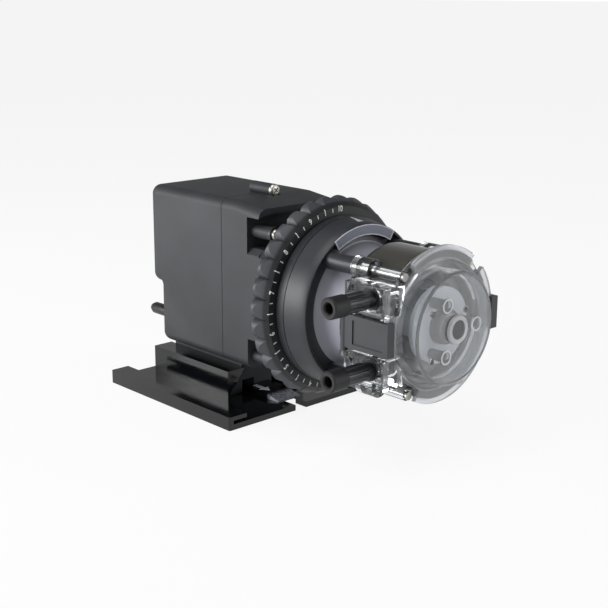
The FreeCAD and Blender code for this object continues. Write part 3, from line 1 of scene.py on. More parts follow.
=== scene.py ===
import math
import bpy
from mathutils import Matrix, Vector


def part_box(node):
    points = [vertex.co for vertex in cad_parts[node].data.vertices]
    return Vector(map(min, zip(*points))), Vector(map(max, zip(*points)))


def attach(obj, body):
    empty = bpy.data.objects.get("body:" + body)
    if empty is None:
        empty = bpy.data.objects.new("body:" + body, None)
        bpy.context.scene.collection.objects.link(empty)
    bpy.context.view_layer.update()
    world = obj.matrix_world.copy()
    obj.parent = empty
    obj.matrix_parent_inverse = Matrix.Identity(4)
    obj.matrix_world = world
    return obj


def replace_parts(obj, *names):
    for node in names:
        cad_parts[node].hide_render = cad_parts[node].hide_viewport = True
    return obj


bl_info = {
    "name": "Peristaltic metering pump",
    "version": (1, 0, 0),
    "blender": (4, 5, 0),
    "location": "View3D > Sidebar > Metering pump",
    "description": "Finishes, dial marks, screws and studio for a peristaltic metering pump",
    "category": "Object",
}

import bmesh
import bpy
from mathutils import Matrix, Vector

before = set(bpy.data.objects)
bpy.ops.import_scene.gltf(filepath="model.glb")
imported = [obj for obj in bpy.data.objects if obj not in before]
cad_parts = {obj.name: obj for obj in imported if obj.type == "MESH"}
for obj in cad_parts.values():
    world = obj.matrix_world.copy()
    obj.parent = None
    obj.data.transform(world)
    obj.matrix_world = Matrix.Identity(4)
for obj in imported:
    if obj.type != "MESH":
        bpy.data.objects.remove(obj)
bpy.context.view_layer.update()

MM = 0.001
AXIS_HEIGHT = 0.085
DIAL_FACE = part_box("dial_ring")[0][1]
# The dial's face falls away beyond this radius, by this much for each unit outwards
SHOULDER_RADIUS = 61.2 * MM
SHOULDER_SLOPE = 2.7 / 3.1
PRINT_THICKNESS = 0.12 * MM
# Scale of a wave texture whose bands are one metre apart
WAVE_SCALE = 0.314
IMAGE_SIZE = 608


# Colours and small helpers

def style():
    """Sizes and colours that the panel shows."""
    return bpy.context.scene.pump_style


def srgb(code):
    """Linear colour from an sRGB hex code."""
    values = [int(code[i:i + 2], 16) / 255.0 for i in (1, 3, 5)]
    return [v / 12.92 if v <= 0.04045 else ((v + 0.055) / 1.055) ** 2.4 for v in values] + [1.0]


def add_node(tree, kind, settings=None, inputs=None, links=None):
    """Adds one node, sets its properties and input values, and links inputs to other sockets."""
    item = tree.nodes.new(kind)
    for key, value in (settings or {}).items():
        setattr(item, key, value)
    for key, value in (inputs or {}).items():
        item.inputs[key].default_value = value
    for key, source in (links or {}).items():
        tree.links.new(source, item.inputs[key])
    return item


def emptied_tree(owner):
    """Node tree of a material or world, without its first nodes."""
    owner.use_nodes = True
    owner.node_tree.nodes.clear()
    return owner.node_tree


def new_material(name):
    """Material with a Principled shader."""
    material = bpy.data.materials.new(name)
    tree = emptied_tree(material)
    shader = add_node(tree, "ShaderNodeBsdfPrincipled")
    add_node(tree, "ShaderNodeOutputMaterial", links={"Surface": shader.outputs["BSDF"]})
    return material, tree, shader


def grain_bump(tree, shader, size_mm, strength, detail=2.0):
    """Fine moulded grain of a real size as bump."""
    place = add_node(tree, "ShaderNodeTexCoord")
    noise = add_node(tree, "ShaderNodeTexNoise", inputs={"Scale": 1.0 / (size_mm * MM), "Detail": detail},
                     links={"Vector": place.outputs["Object"]})
    bump = add_node(tree, "ShaderNodeBump", inputs={"Strength": strength, "Distance": 0.05 * MM},
                    links={"Height": noise.outputs["Fac"]})
    tree.links.new(bump.outputs["Normal"], shader.inputs["Normal"])
    return place, noise


def mottled(tree, place, size_mm, dark, light, span=(0.35, 0.65)):
    """Colour that drifts between two shades over patches of a real size."""
    noise = add_node(tree, "ShaderNodeTexNoise", inputs={"Scale": 1.0 / (size_mm * MM), "Detail": 3.0},
                     links={"Vector": place.outputs["Object"]})
    ramp = add_node(tree, "ShaderNodeValToRGB", links={"Fac": noise.outputs["Fac"]})
    ramp.color_ramp.elements[0].position = span[0]
    ramp.color_ramp.elements[0].color = srgb(dark)
    ramp.color_ramp.elements[1].position = span[1]
    ramp.color_ramp.elements[1].color = srgb(light)
    return ramp


def zone(tree, *limits):
    """1 where every value lies between its two limits, otherwise 0."""
    result = None
    for source, low, high in limits:
        inside = add_node(tree, "ShaderNodeMath", {"operation": "COMPARE"},
                          {1: (low + high) / 2, 2: (high - low) / 2}, {0: source}).outputs["Value"]
        if result is None:
            result = inside
        else:
            result = add_node(tree, "ShaderNodeMath", {"operation": "MULTIPLY"},
                              links={0: result, 1: inside}).outputs["Value"]
    return result


def axis_polar(tree, place):
    """Distance from the pump axis, angle from its top and the Y coordinate."""
    split = add_node(tree, "ShaderNodeSeparateXYZ", links={"Vector": place.outputs["Object"]})
    lift = add_node(tree, "ShaderNodeMath", {"operation": "SUBTRACT"}, {1: AXIS_HEIGHT},
                    {0: split.outputs["Z"]})
    flat = add_node(tree, "ShaderNodeCombineXYZ", links={"X": split.outputs["X"], "Z": lift.outputs["Value"]})
    radius = add_node(tree, "ShaderNodeVectorMath", {"operation": "LENGTH"},
                      links={0: flat.outputs["Vector"]})
    angle = add_node(tree, "ShaderNodeMath", {"operation": "ARCTAN2"},
                     links={0: split.outputs["X"], 1: lift.outputs["Value"]})
    return radius.outputs["Value"], angle.outputs["Value"], split.outputs["Y"]


def textured_abs():
    """Spark-textured ABS: a dull, fine-grained moulding that scatters light softly."""
    material, tree, shader = new_material("spark_textured_abs")
    place, _ = grain_bump(tree, shader, 0.55, 0.35)
    ramp = mottled(tree, place, 30.0, style().case_dark, style().case_light)
    tree.links.new(ramp.outputs["Color"], shader.inputs["Base Color"])
    shader.inputs["Roughness"].default_value = 0.58
    shader.inputs["IOR"].default_value = 1.53
    return material


def satin_nylon():
    """Moulded glass-filled nylon with a soft sheen; the raised pad carries a pale painted reflection ringed
    by a painted highlight, and the neck is painted lighter as a painted highlight.
    """
    material, tree, shader = new_material("satin_moulded_nylon")
    place, _ = grain_bump(tree, shader, 0.8, 0.12)
    ramp = mottled(tree, place, 24.0, style().front_dark, style().front_light)
    radius, angle, along = axis_polar(tree, place)
    pad_face = (along, -0.1232, -0.1221)
    edge_turn, field_turn = math.radians(31.2), math.radians(30.1)
    # Painted reflection on the raised pad's face, and a painted highlight along its rounded edge
    edge = zone(tree, pad_face, (radius, 46.0 * MM, 53.0 * MM), (angle, -edge_turn, edge_turn))
    field = zone(tree, pad_face, (radius, 46.7 * MM, 52.2 * MM), (angle, -field_turn, field_turn))
    neck = zone(tree, (radius, 37.0 * MM, 43.4 * MM), (along, -0.1424, -0.1186))
    # The neck behind the clear head is painted lighter than the rim round it, a painted highlight
    moulding = add_node(tree, "ShaderNodeMix", {"data_type": "RGBA"}, {"B": srgb("#8f909a")},
                        {"Factor": neck, "A": ramp.outputs["Color"]})
    edge_highlighted = add_node(tree, "ShaderNodeMix", {"data_type": "RGBA"}, {"B": srgb(style().pad_edge)},
                     {"Factor": edge, "A": moulding.outputs["Result"]})
    painted = add_node(tree, "ShaderNodeMix", {"data_type": "RGBA"}, {"B": srgb(style().pad_colour)},
                       {"Factor": field, "A": edge_highlighted.outputs["Result"]})
    tree.links.new(painted.outputs["Result"], shader.inputs["Base Color"])
    shader.inputs["Roughness"].default_value = 0.44
    shader.inputs["IOR"].default_value = 1.53
    return material


def gloss_abs():
    """Polished black ABS: mirror-like, with faint rubbing marks along the slide direction."""
    material, tree, shader = new_material("polished_black_abs")
    place = add_node(tree, "ShaderNodeTexCoord")
    stretch = add_node(tree, "ShaderNodeMapping", inputs={"Scale": (1.0, 0.06, 1.0)},
                       links={"Vector": place.outputs["Object"]})
    marks = add_node(tree, "ShaderNodeTexNoise", inputs={"Scale": 1.0 / (0.9 * MM), "Detail": 4.0},
                     links={"Vector": stretch.outputs["Vector"]})
    rough = add_node(tree, "ShaderNodeMapRange",
                     inputs={"From Min": 0.4, "From Max": 0.75, "To Min": 0.09, "To Max": 0.2},
                     links={"Value": marks.outputs["Fac"]})
    tree.links.new(rough.outputs["Result"], shader.inputs["Roughness"])
    shader.inputs["Base Color"].default_value = srgb(style().bracket_colour)
    shader.inputs["IOR"].default_value = 1.53
    return material


def worn_tongue():
    """Black ABS whose ramp is scuffed pale where the pump slides over it."""
    material, tree, shader = new_material("scuffed_black_abs")
    place = add_node(tree, "ShaderNodeTexCoord")
    split = add_node(tree, "ShaderNodeSeparateXYZ", links={"Vector": place.outputs["Object"]})
    ramp_start = add_node(tree, "ShaderNodeMapRange", {}, {"From Min": -0.0440, "From Max": -0.0490},
                          {"Value": split.outputs["Y"]})
    ramp_end = add_node(tree, "ShaderNodeMapRange", {}, {"From Min": -0.0575, "From Max": -0.0555},
                        {"Value": split.outputs["Y"]})
    speck = add_node(tree, "ShaderNodeTexNoise", inputs={"Scale": 1.0 / (1.6 * MM), "Detail": 5.0},
                     links={"Vector": place.outputs["Object"]})
    level = add_node(tree, "ShaderNodeMapRange",
                     inputs={"From Min": 0.3, "From Max": 0.62, "To Min": 0.25, "To Max": 1.0},
                     links={"Value": speck.outputs["Fac"]})
    slope = add_node(tree, "ShaderNodeMath", {"operation": "MULTIPLY"},
                     links={0: ramp_start.outputs["Result"], 1: ramp_end.outputs["Result"]})
    worn = add_node(tree, "ShaderNodeMath", {"operation": "MULTIPLY"},
                    links={0: slope.outputs["Value"], 1: level.outputs["Result"]})
    colour = add_node(tree, "ShaderNodeValToRGB", links={"Fac": worn.outputs["Value"]})
    colour.color_ramp.elements[0].color = srgb(style().bracket_colour)
    colour.color_ramp.elements[1].color = srgb("#a9abb8")
    tree.links.new(colour.outputs["Color"], shader.inputs["Base Color"])
    rough = add_node(tree, "ShaderNodeMapRange", inputs={"To Min": 0.12, "To Max": 0.5},
                     links={"Value": worn.outputs["Value"]})
    tree.links.new(rough.outputs["Result"], shader.inputs["Roughness"])
    shader.inputs["IOR"].default_value = 1.53
    return material


def clear_polycarbonate(name, barrel_shade, milk):
    """Clear moulded polycarbonate: bright edges, dark refractions and a faint cool tint."""
    material, tree, shader = new_material(name)
    place = add_node(tree, "ShaderNodeTexCoord")
    waves = add_node(tree, "ShaderNodeTexNoise", inputs={"Scale": 1.0 / (9.0 * MM), "Detail": 1.0},
                     links={"Vector": place.outputs["Object"]})
    bump = add_node(tree, "ShaderNodeBump", inputs={"Strength": 0.1, "Distance": 0.12 * MM},
                    links={"Height": waves.outputs["Fac"]})
    tree.links.new(bump.outputs["Normal"], shader.inputs["Normal"])
    radius, _, along = axis_polar(tree, place)
    if barrel_shade:
        # The barrel's wall is filled dark grey as painted shade, so it shows little of the roller track
        # behind it
        filled = zone(tree, (radius, 34.6 * MM, 45.2 * MM), (along, -0.1818, -0.1463))
        fill_colour, fill_share, fill_rough = "#4a4945", 0.78, 0.14
    else:
        # The raised rims on the cover's face are frosted, and its flange is lightly hazed
        rims = zone(tree, (radius, 6.0 * MM, 24.5 * MM), (along, -0.2020, -0.2000))
        flange = zone(tree, (radius, 40.5 * MM, 70.0 * MM), (along, -0.1890, -0.1700))
        hazed = add_node(tree, "ShaderNodeMath", {"operation": "MULTIPLY_ADD"}, {1: 0.4},
                         {0: flange, 2: rims})
        filled = hazed.outputs["Value"]
        fill_colour, fill_share, fill_rough = "#e6e7ea", 0.5, 0.45
    colour = add_node(tree, "ShaderNodeMix", {"data_type": "RGBA"},
                      {"A": srgb(style().clear_tint), "B": srgb(fill_colour)}, {"Factor": filled})
    tree.links.new(colour.outputs["Result"], shader.inputs["Base Color"])
    open_share = add_node(tree, "ShaderNodeMapRange",
                          inputs={"To Min": 1.0 - milk, "To Max": (1.0 - milk) * (1.0 - fill_share)},
                          links={"Value": filled})
    tree.links.new(open_share.outputs["Result"], shader.inputs["Transmission Weight"])
    rough = add_node(tree, "ShaderNodeMapRange", inputs={"To Min": 0.02, "To Max": fill_rough},
                     links={"Value": filled})
    tree.links.new(rough.outputs["Result"], shader.inputs["Roughness"])
    shader.inputs["IOR"].default_value = 1.585
    return material


def dial_acetal():
    """Moulded black acetal; its grip lobes are painted paler than the face, a painted highlight."""
    material, tree, shader = new_material("moulded_black_acetal")
    place, _ = grain_bump(tree, shader, 0.6, 0.14)
    split = add_node(tree, "ShaderNodeSeparateXYZ", links={"Vector": place.outputs["Object"]})
    # Painted highlight: the lobes behind the face are painted a paler grey than the face
    lit_lobes = add_node(tree, "ShaderNodeMapRange", {}, {"From Min": -0.0962, "From Max": -0.0950},
                      {"Value": split.outputs["Y"]})
    colour = add_node(tree, "ShaderNodeMix", {"data_type": "RGBA"},
                      {"A": srgb("#1b1c1f"), "B": srgb("#3b3c41")}, {"Factor": lit_lobes.outputs["Result"]})
    tree.links.new(colour.outputs["Result"], shader.inputs["Base Color"])
    shader.inputs["Roughness"].default_value = 0.48
    shader.inputs["IOR"].default_value = 1.48
    return material


def hub_nylon():
    """Pale glass-filled nylon with a dark centre boss and dark pin posts."""
    material, tree, shader = new_material("two_tone_glass_filled_nylon")
    place, _ = grain_bump(tree, shader, 0.8, 0.1)
    split = add_node(tree, "ShaderNodeSeparateXYZ", links={"Vector": place.outputs["Object"]})
    dark = zone(tree, (split.outputs["Y"], -0.2000, -0.1867))
    colour = add_node(tree, "ShaderNodeMix", {"data_type": "RGBA"},
                      {"A": srgb("#dcdde1"), "B": srgb("#2a2b2e")}, {"Factor": dark})
    tree.links.new(colour.outputs["Result"], shader.inputs["Base Color"])
    shader.inputs["Roughness"].default_value = 0.42
    return material


def fluted_nylon():
    """Matt black nylon of the tube nuts; the fluted skirt is glossier and painted paler, a painted sheen."""
    material, tree, shader = new_material("matt_and_polished_black_nylon")
    place, _ = grain_bump(tree, shader, 0.5, 0.12)
    split = add_node(tree, "ShaderNodeSeparateXYZ", links={"Vector": place.outputs["Object"]})
    # Painted sheen: the fluted skirt is painted a paler black than the rest of the nut, and its gloss is
    # raised
    sheen_skirt = zone(tree, (split.outputs["X"], -0.0690, -0.0400))
    colour = add_node(tree, "ShaderNodeMix", {"data_type": "RGBA"},
                      {"A": srgb("#0e0e11"), "B": srgb("#222327")}, {"Factor": sheen_skirt})
    tree.links.new(colour.outputs["Result"], shader.inputs["Base Color"])
    rough = add_node(tree, "ShaderNodeMapRange", inputs={"To Min": 0.6, "To Max": 0.36},
                     links={"Value": sheen_skirt})
    tree.links.new(rough.outputs["Result"], shader.inputs["Roughness"])
    return material


def bare_metal(name, colour, rough):
    """Plated, ground, turned or sintered metal, whose gloss varies a little over its skin."""
    material, tree, shader = new_material(name)
    _, noise = grain_bump(tree, shader, 0.9, 0.1)
    level = add_node(tree, "ShaderNodeMapRange", inputs={"To Min": rough - 0.08, "To Max": rough + 0.12},
                     links={"Value": noise.outputs["Fac"]})
    tree.links.new(level.outputs["Result"], shader.inputs["Roughness"])
    shader.inputs["Base Color"].default_value = srgb(colour)
    shader.inputs["Metallic"].default_value = 1.0
    return material


def moulded(name, colour, rough, grain=0.7, strength=0.1, ior=1.5):
    """Plain moulded plastic or rubber with a fine grain and slightly uneven gloss."""
    material, tree, shader = new_material(name)
    _, noise = grain_bump(tree, shader, grain, strength)
    level = add_node(tree, "ShaderNodeMapRange", inputs={"To Min": rough - 0.05, "To Max": rough + 0.05},
                     links={"Value": noise.outputs["Fac"]})
    tree.links.new(level.outputs["Result"], shader.inputs["Roughness"])
    shader.inputs["Base Color"].default_value = srgb(colour)
    shader.inputs["IOR"].default_value = ior
    return material


def banded_metal(name, colour, direction, pitch_mm, distortion, strength, depth_mm, rough):
    """Metal in parallel turns or plates of a real pitch, which show as fine grooves."""
    material, tree, shader = new_material(name)
    place = add_node(tree, "ShaderNodeTexCoord")
    wave = add_node(tree, "ShaderNodeTexWave", {"bands_direction": direction},
                    {"Scale": WAVE_SCALE / (pitch_mm * MM), "Distortion": distortion},
                    {"Vector": place.outputs["Object"]})
    bump = add_node(tree, "ShaderNodeBump", inputs={"Strength": strength, "Distance": depth_mm * MM},
                    links={"Height": wave.outputs["Fac"]})
    tree.links.new(bump.outputs["Normal"], shader.inputs["Normal"])
    shader.inputs["Base Color"].default_value = srgb(colour)
    shader.inputs["Metallic"].default_value = 1.0
    shader.inputs["Roughness"].default_value = rough
    return material


# Shapes

def smooth_tree():
    """Geometry Nodes: merges the loose triangles and shades smooth below an edge angle."""
    name = "smooth_by_edge_angle"
    if name in bpy.data.node_groups:
        return bpy.data.node_groups[name]
    tree = bpy.data.node_groups.new(name, "GeometryNodeTree")
    tree.is_modifier = True
    tree.interface.new_socket("Geometry", in_out="INPUT", socket_type="NodeSocketGeometry")
    limit = tree.interface.new_socket("Edge angle", in_out="INPUT", socket_type="NodeSocketFloat")
    limit.default_value = math.radians(28)
    limit.subtype = "ANGLE"
    tree.interface.new_socket("Geometry", in_out="OUTPUT", socket_type="NodeSocketGeometry")
    start = add_node(tree, "NodeGroupInput")
    merged = add_node(tree, "GeometryNodeMergeByDistance", inputs={"Distance": 0.002 * MM},
                      links={"Geometry": start.outputs["Geometry"]})
    faces = add_node(tree, "GeometryNodeSetShadeSmooth", {"domain": "FACE"},
                     inputs={"Shade Smooth": True}, links={"Geometry": merged.outputs["Geometry"]})
    angle = add_node(tree, "GeometryNodeInputMeshEdgeAngle")
    smooth = add_node(tree, "FunctionNodeCompare", {"data_type": "FLOAT", "operation": "LESS_THAN"},
                      links={"A": angle.outputs["Unsigned Angle"], "B": start.outputs["Edge angle"]})
    edges = add_node(tree, "GeometryNodeSetShadeSmooth", {"domain": "EDGE"},
                     links={"Geometry": faces.outputs["Geometry"], "Shade Smooth": smooth.outputs["Result"]})
    add_node(tree, "NodeGroupOutput", links={"Geometry": edges.outputs["Geometry"]})
    return tree


def dress(node, material):
    """Gives a CAD node its material and soft shading."""
    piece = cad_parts[node]
    if not piece.material_slots:
        piece.data.materials.append(material)
    for held in piece.material_slots:
        held.material = material
    piece.modifiers.new("soft_shading", "NODES").node_group = smooth_tree()


def dress_all(nodes, material):
    """Gives several CAD nodes one material."""
    for node in nodes:
        dress(node, material)


def place_object(name, data):
    """New object in the scene, at the origin."""
    item = bpy.data.objects.new(name, data)
    bpy.context.scene.collection.objects.link(item)
    return item


def finished_mesh(model, name):
    """Mesh of a closed model, its faces turned outwards."""
    bmesh.ops.recalc_face_normals(model, faces=model.faces)
    mesh = bpy.data.meshes.new(name)
    model.to_mesh(mesh)
    model.free()
    return mesh


def add_band(model, low, high):
    """Faces that join two closed rows of as many corners."""
    for i in range(len(low)):
        after = (i + 1) % len(low)
        model.faces.new((low[i], low[after], high[after], high[i]))


def slab_mesh(name, lower, upper):
    """Flat closed solid between two outlines with as many corners."""
    model = bmesh.new()
    rows = [[model.verts.new(corner) for corner in outline] for outline in (lower, upper)]
    for row in rows:
        model.faces.new(row)
    add_band(model, *rows)
    return finished_mesh(model, name)


def mesh_piece(name, mesh, material, body):
    """Links a finished mesh whose place is in its vertices, and lets it ride on a body."""
    piece = place_object(name, mesh)
    mesh.materials.clear()
    mesh.materials.append(material)
    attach(piece, body)
    return piece


def evaluated_mesh(holder, name):
    """Plain mesh of an object with its modifiers applied; the object goes."""
    graph = bpy.context.evaluated_depsgraph_get()
    graph.update()
    mesh = bpy.data.meshes.new_from_object(holder.evaluated_get(graph))
    mesh.name = name
    bpy.data.objects.remove(holder)
    return mesh


def on_dial(angle, radius):
    """Point on the dial's face; the angle runs from the top towards +X."""
    return Vector((radius * math.sin(angle), DIAL_FACE, AXIS_HEIGHT + radius * math.cos(angle)))


def settle_on_shoulder(mesh):
    """Bends print that crosses the dial's edge down the slope of its shoulder."""
    for vertex in mesh.vertices:
        over = math.hypot(vertex.co.x, vertex.co.z - AXIS_HEIGHT) - SHOULDER_RADIUS
        if over > 0:
            vertex.co.y += over * SHOULDER_SLOPE


def number_mesh(text, height):
    """Raised print of one dial number, centred on the origin in the XY plane."""
    # A digit's height as a share of the font's size, and how far its strokes are thickened
    digit_share = 0.7
    stroke_gain = 0.09 * MM
    curve = bpy.data.curves.new("dial_number_" + text, "FONT")
    curve.body = text
    curve.align_x = "CENTER"
    curve.align_y = "CENTER"
    curve.size = height / digit_share
    curve.extrude = PRINT_THICKNESS / 2
    curve.offset = stroke_gain
    curve.resolution_u = 3
    return evaluated_mesh(place_object("dial_number_holder", curve), "dial_number_" + text)


def tick_tree(material):
    """Geometry Nodes: three ticks in each gap between the dial numbers, the middle one longer."""
    tree = bpy.data.node_groups.new("dial_ticks", "GeometryNodeTree")
    tree.is_modifier = True
    tree.interface.new_socket("Geometry", in_out="INPUT", socket_type="NodeSocketGeometry")
    tree.interface.new_socket("Count", in_out="INPUT", socket_type="NodeSocketInt")
    for name in ("First angle", "Number step", "Long outer radius", "Long length", "Short radius",
                 "Short length", "Width", "Face"):
        tree.interface.new_socket(name, in_out="INPUT", socket_type="NodeSocketFloat")
    tree.interface.new_socket("Geometry", in_out="OUTPUT", socket_type="NodeSocketGeometry")
    start = add_node(tree, "NodeGroupInput").outputs
    index = add_node(tree, "GeometryNodeInputIndex").outputs["Index"]
    # A tick's quarter steps from the first number: its index, one more, and one for each number passed
    thirds = add_node(tree, "ShaderNodeMath", {"operation": "DIVIDE"}, {1: 3.0}, {0: index})
    gap = add_node(tree, "ShaderNodeMath", {"operation": "FLOOR"}, links={0: thirds.outputs["Value"]})
    passed = add_node(tree, "ShaderNodeMath", {"operation": "ADD"},
                      links={0: index, 1: gap.outputs["Value"]})
    steps = add_node(tree, "ShaderNodeMath", {"operation": "MULTIPLY_ADD"}, {1: 0.25, 2: 0.25},
                     {0: passed.outputs["Value"]})
    back = add_node(tree, "ShaderNodeMath", {"operation": "MULTIPLY"},
                    links={0: start["Number step"], 1: steps.outputs["Value"]})
    turn = add_node(tree, "ShaderNodeMath", {"operation": "SUBTRACT"},
                    links={0: start["First angle"], 1: back.outputs["Value"]}).outputs["Value"]
    place = add_node(tree, "ShaderNodeMath", {"operation": "MODULO"}, {1: 3.0}, {0: index})
    is_long = add_node(tree, "ShaderNodeMath", {"operation": "COMPARE"}, {1: 1.0, 2: 0.1},
                       {0: place.outputs["Value"]}).outputs["Value"]
    long_middle = add_node(tree, "ShaderNodeMath", {"operation": "MULTIPLY_ADD"}, {1: -0.5},
                           {0: start["Long length"], 2: start["Long outer radius"]})
    radius = add_node(tree, "ShaderNodeMix", {"data_type": "FLOAT"},
                      links={"Factor": is_long, "A": start["Short radius"],
                             "B": long_middle.outputs["Value"]})
    length = add_node(tree, "ShaderNodeMix", {"data_type": "FLOAT"},
                      links={"Factor": is_long, "A": start["Short length"], "B": start["Long length"]})
    upright = add_node(tree, "ShaderNodeCombineXYZ",
                       links={"Y": start["Face"], "Z": radius.outputs["Result"]})
    around = add_node(tree, "ShaderNodeVectorRotate", {"rotation_type": "Y_AXIS"},
                      links={"Vector": upright.outputs["Vector"], "Angle": turn})
    spot = add_node(tree, "ShaderNodeVectorMath", {"operation": "ADD"}, {1: (0, 0, AXIS_HEIGHT)},
                    {0: around.outputs["Vector"]})
    points = add_node(tree, "GeometryNodePoints",
                      links={"Count": start["Count"], "Position": spot.outputs["Vector"]})
    # Each tick is cut along its length, so that it can bend over the dial's edge
    stroke = add_node(tree, "GeometryNodeMeshCube",
                      inputs={"Size": (1.0, PRINT_THICKNESS, 1.0), "Vertices Z": 15})
    way = add_node(tree, "ShaderNodeCombineXYZ", links={"Y": turn})
    scale = add_node(tree, "ShaderNodeCombineXYZ", inputs={"Y": 1.0},
                     links={"X": start["Width"], "Z": length.outputs["Result"]})
    scatter(tree, points.outputs["Points"], stroke.outputs["Mesh"], way, scale, material)
    return tree


def scatter(tree, points, thing, way, scale, material):
    """Ends a tree: copies of a thing at the points, as real geometry of one material."""
    placed = add_node(tree, "GeometryNodeInstanceOnPoints",
                      links={"Points": points, "Instance": thing, "Rotation": way.outputs["Vector"]})
    if scale is not None:
        tree.links.new(scale.outputs["Vector"], placed.inputs["Scale"])
    real = add_node(tree, "GeometryNodeRealizeInstances", links={"Geometry": placed.outputs["Instances"]})
    painted = add_node(tree, "GeometryNodeSetMaterial", inputs={"Material": material},
                       links={"Geometry": real.outputs["Geometry"]})
    add_node(tree, "NodeGroupOutput", links={"Geometry": painted.outputs["Geometry"]})


def node_holder(name, tree, values):
    """Object that carries a node tree, with its named inputs set by socket identifier."""
    holder = place_object(name, bpy.data.meshes.new(name))
    modifier = holder.modifiers.new(name, "NODES")
    modifier.node_group = tree
    sockets = {item.name: item.identifier for item in tree.interface.items_tree
               if item.item_type == "SOCKET" and item.in_out == "INPUT"}
    for key, value in values.items():
        modifier[sockets[key]] = value
    return holder


def pan_head_mesh(name, radius, depth, recess):
    """Domed screw head with a cross recess, its seat at the origin and its dome along -Y."""
    segments = 32
    # Each ring of the dome: its share of the radius and of the depth
    profile = [(0.97, 0.0), (1.0, 0.12), (0.98, 0.45), (0.88, 0.78), (0.66, 0.95), (0.4, 1.0)]
    turns = [2 * math.pi * i / segments for i in range(segments)]
    model = bmesh.new()
    rows = [[model.verts.new((radius * wide * math.cos(turn), -depth * deep,
                              radius * wide * math.sin(turn))) for turn in turns]
            for wide, deep in profile]
    for low, high in zip(rows, rows[1:]):
        add_band(model, low, high)
    model.faces.new(rows[0])
    centre = model.verts.new((0, -depth, 0))
    top = rows[-1]
    for i in range(segments):
        model.faces.new((top[i], top[(i + 1) % segments], centre))
    holder = place_object(name + "_holder", finished_mesh(model, name))
    cutter = place_object(name + "_cutter", cross_mesh(name + "_cross", radius, depth, recess))
    cross = holder.modifiers.new("cross_recess", "BOOLEAN")
    cross.operation = "DIFFERENCE"
    cross.object = cutter
    cross.solver = "EXACT"
    cross.use_self = True
    result = evaluated_mesh(holder, name)
    bpy.data.objects.remove(cutter)
    return result


def cross_mesh(name, radius, depth, recess):
    """Two crossed wedges that cut a screw's recess; they start above its dome."""
    open_share, deep_share, width_share = 0.62, 0.3, 0.1
    start = -depth * 1.15
    model = bmesh.new()
    for turn in (0, 90):
        for vert in bmesh.ops.create_cube(model, size=2.0)["verts"]:
            deep = vert.co.y > 0
            vert.co = Vector((vert.co.x * radius * (deep_share if deep else open_share),
                              start + recess if deep else start, vert.co.z * radius * width_share))
            vert.co.rotate(Matrix.Rotation(math.radians(turn), 3, "Y"))
    return finished_mesh(model, name)


def screw_heads_tree(name, source, material):
    """Geometry Nodes: one copy of a screw head at each point, each cross turned its own way."""
    tree = bpy.data.node_groups.new(name, "GeometryNodeTree")
    tree.is_modifier = True
    tree.interface.new_socket("Geometry", in_out="INPUT", socket_type="NodeSocketGeometry")
    tree.interface.new_socket("Seed", in_out="INPUT", socket_type="NodeSocketInt").default_value = 7
    tree.interface.new_socket("Geometry", in_out="OUTPUT", socket_type="NodeSocketGeometry")
    start = add_node(tree, "NodeGroupInput")
    head = add_node(tree, "GeometryNodeObjectInfo", inputs={"Object": source, "As Instance": False})
    angle = add_node(tree, "FunctionNodeRandomValue", {"data_type": "FLOAT"},
                     links={"Seed": start.outputs["Seed"]})
    for socket in angle.inputs:
        if socket.name == "Max" and socket.type == "VALUE":
            socket.default_value = math.pi
    value = [socket for socket in angle.outputs if socket.type == "VALUE" and socket.enabled][0]
    way = add_node(tree, "ShaderNodeCombineXYZ", links={"Y": value})
    scatter(tree, start.outputs["Geometry"], head.outputs["Geometry"], way, None, material)
    return tree


def screw_heads(name, spots, radius, depth, material, node):
    """Cross-recessed heads at the spots, over a CAD node's plain heads."""
    source = place_object(name + "_source", pan_head_mesh(name + "_head", radius, depth, depth * 0.8))
    cloud = bpy.data.meshes.new(name)
    cloud.from_pydata(spots, [], [])
    holder = place_object(name + "_holder", cloud)
    tree = screw_heads_tree(name + "_scatter", source, material)
    holder.modifiers.new("scatter", "NODES").node_group = tree
    mesh = evaluated_mesh(holder, name)
    bpy.data.objects.remove(source)
    for polygon in mesh.polygons:
        polygon.use_smooth = False
    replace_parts(mesh_piece(name, mesh, material, "pump_frame"), node)


# Settings

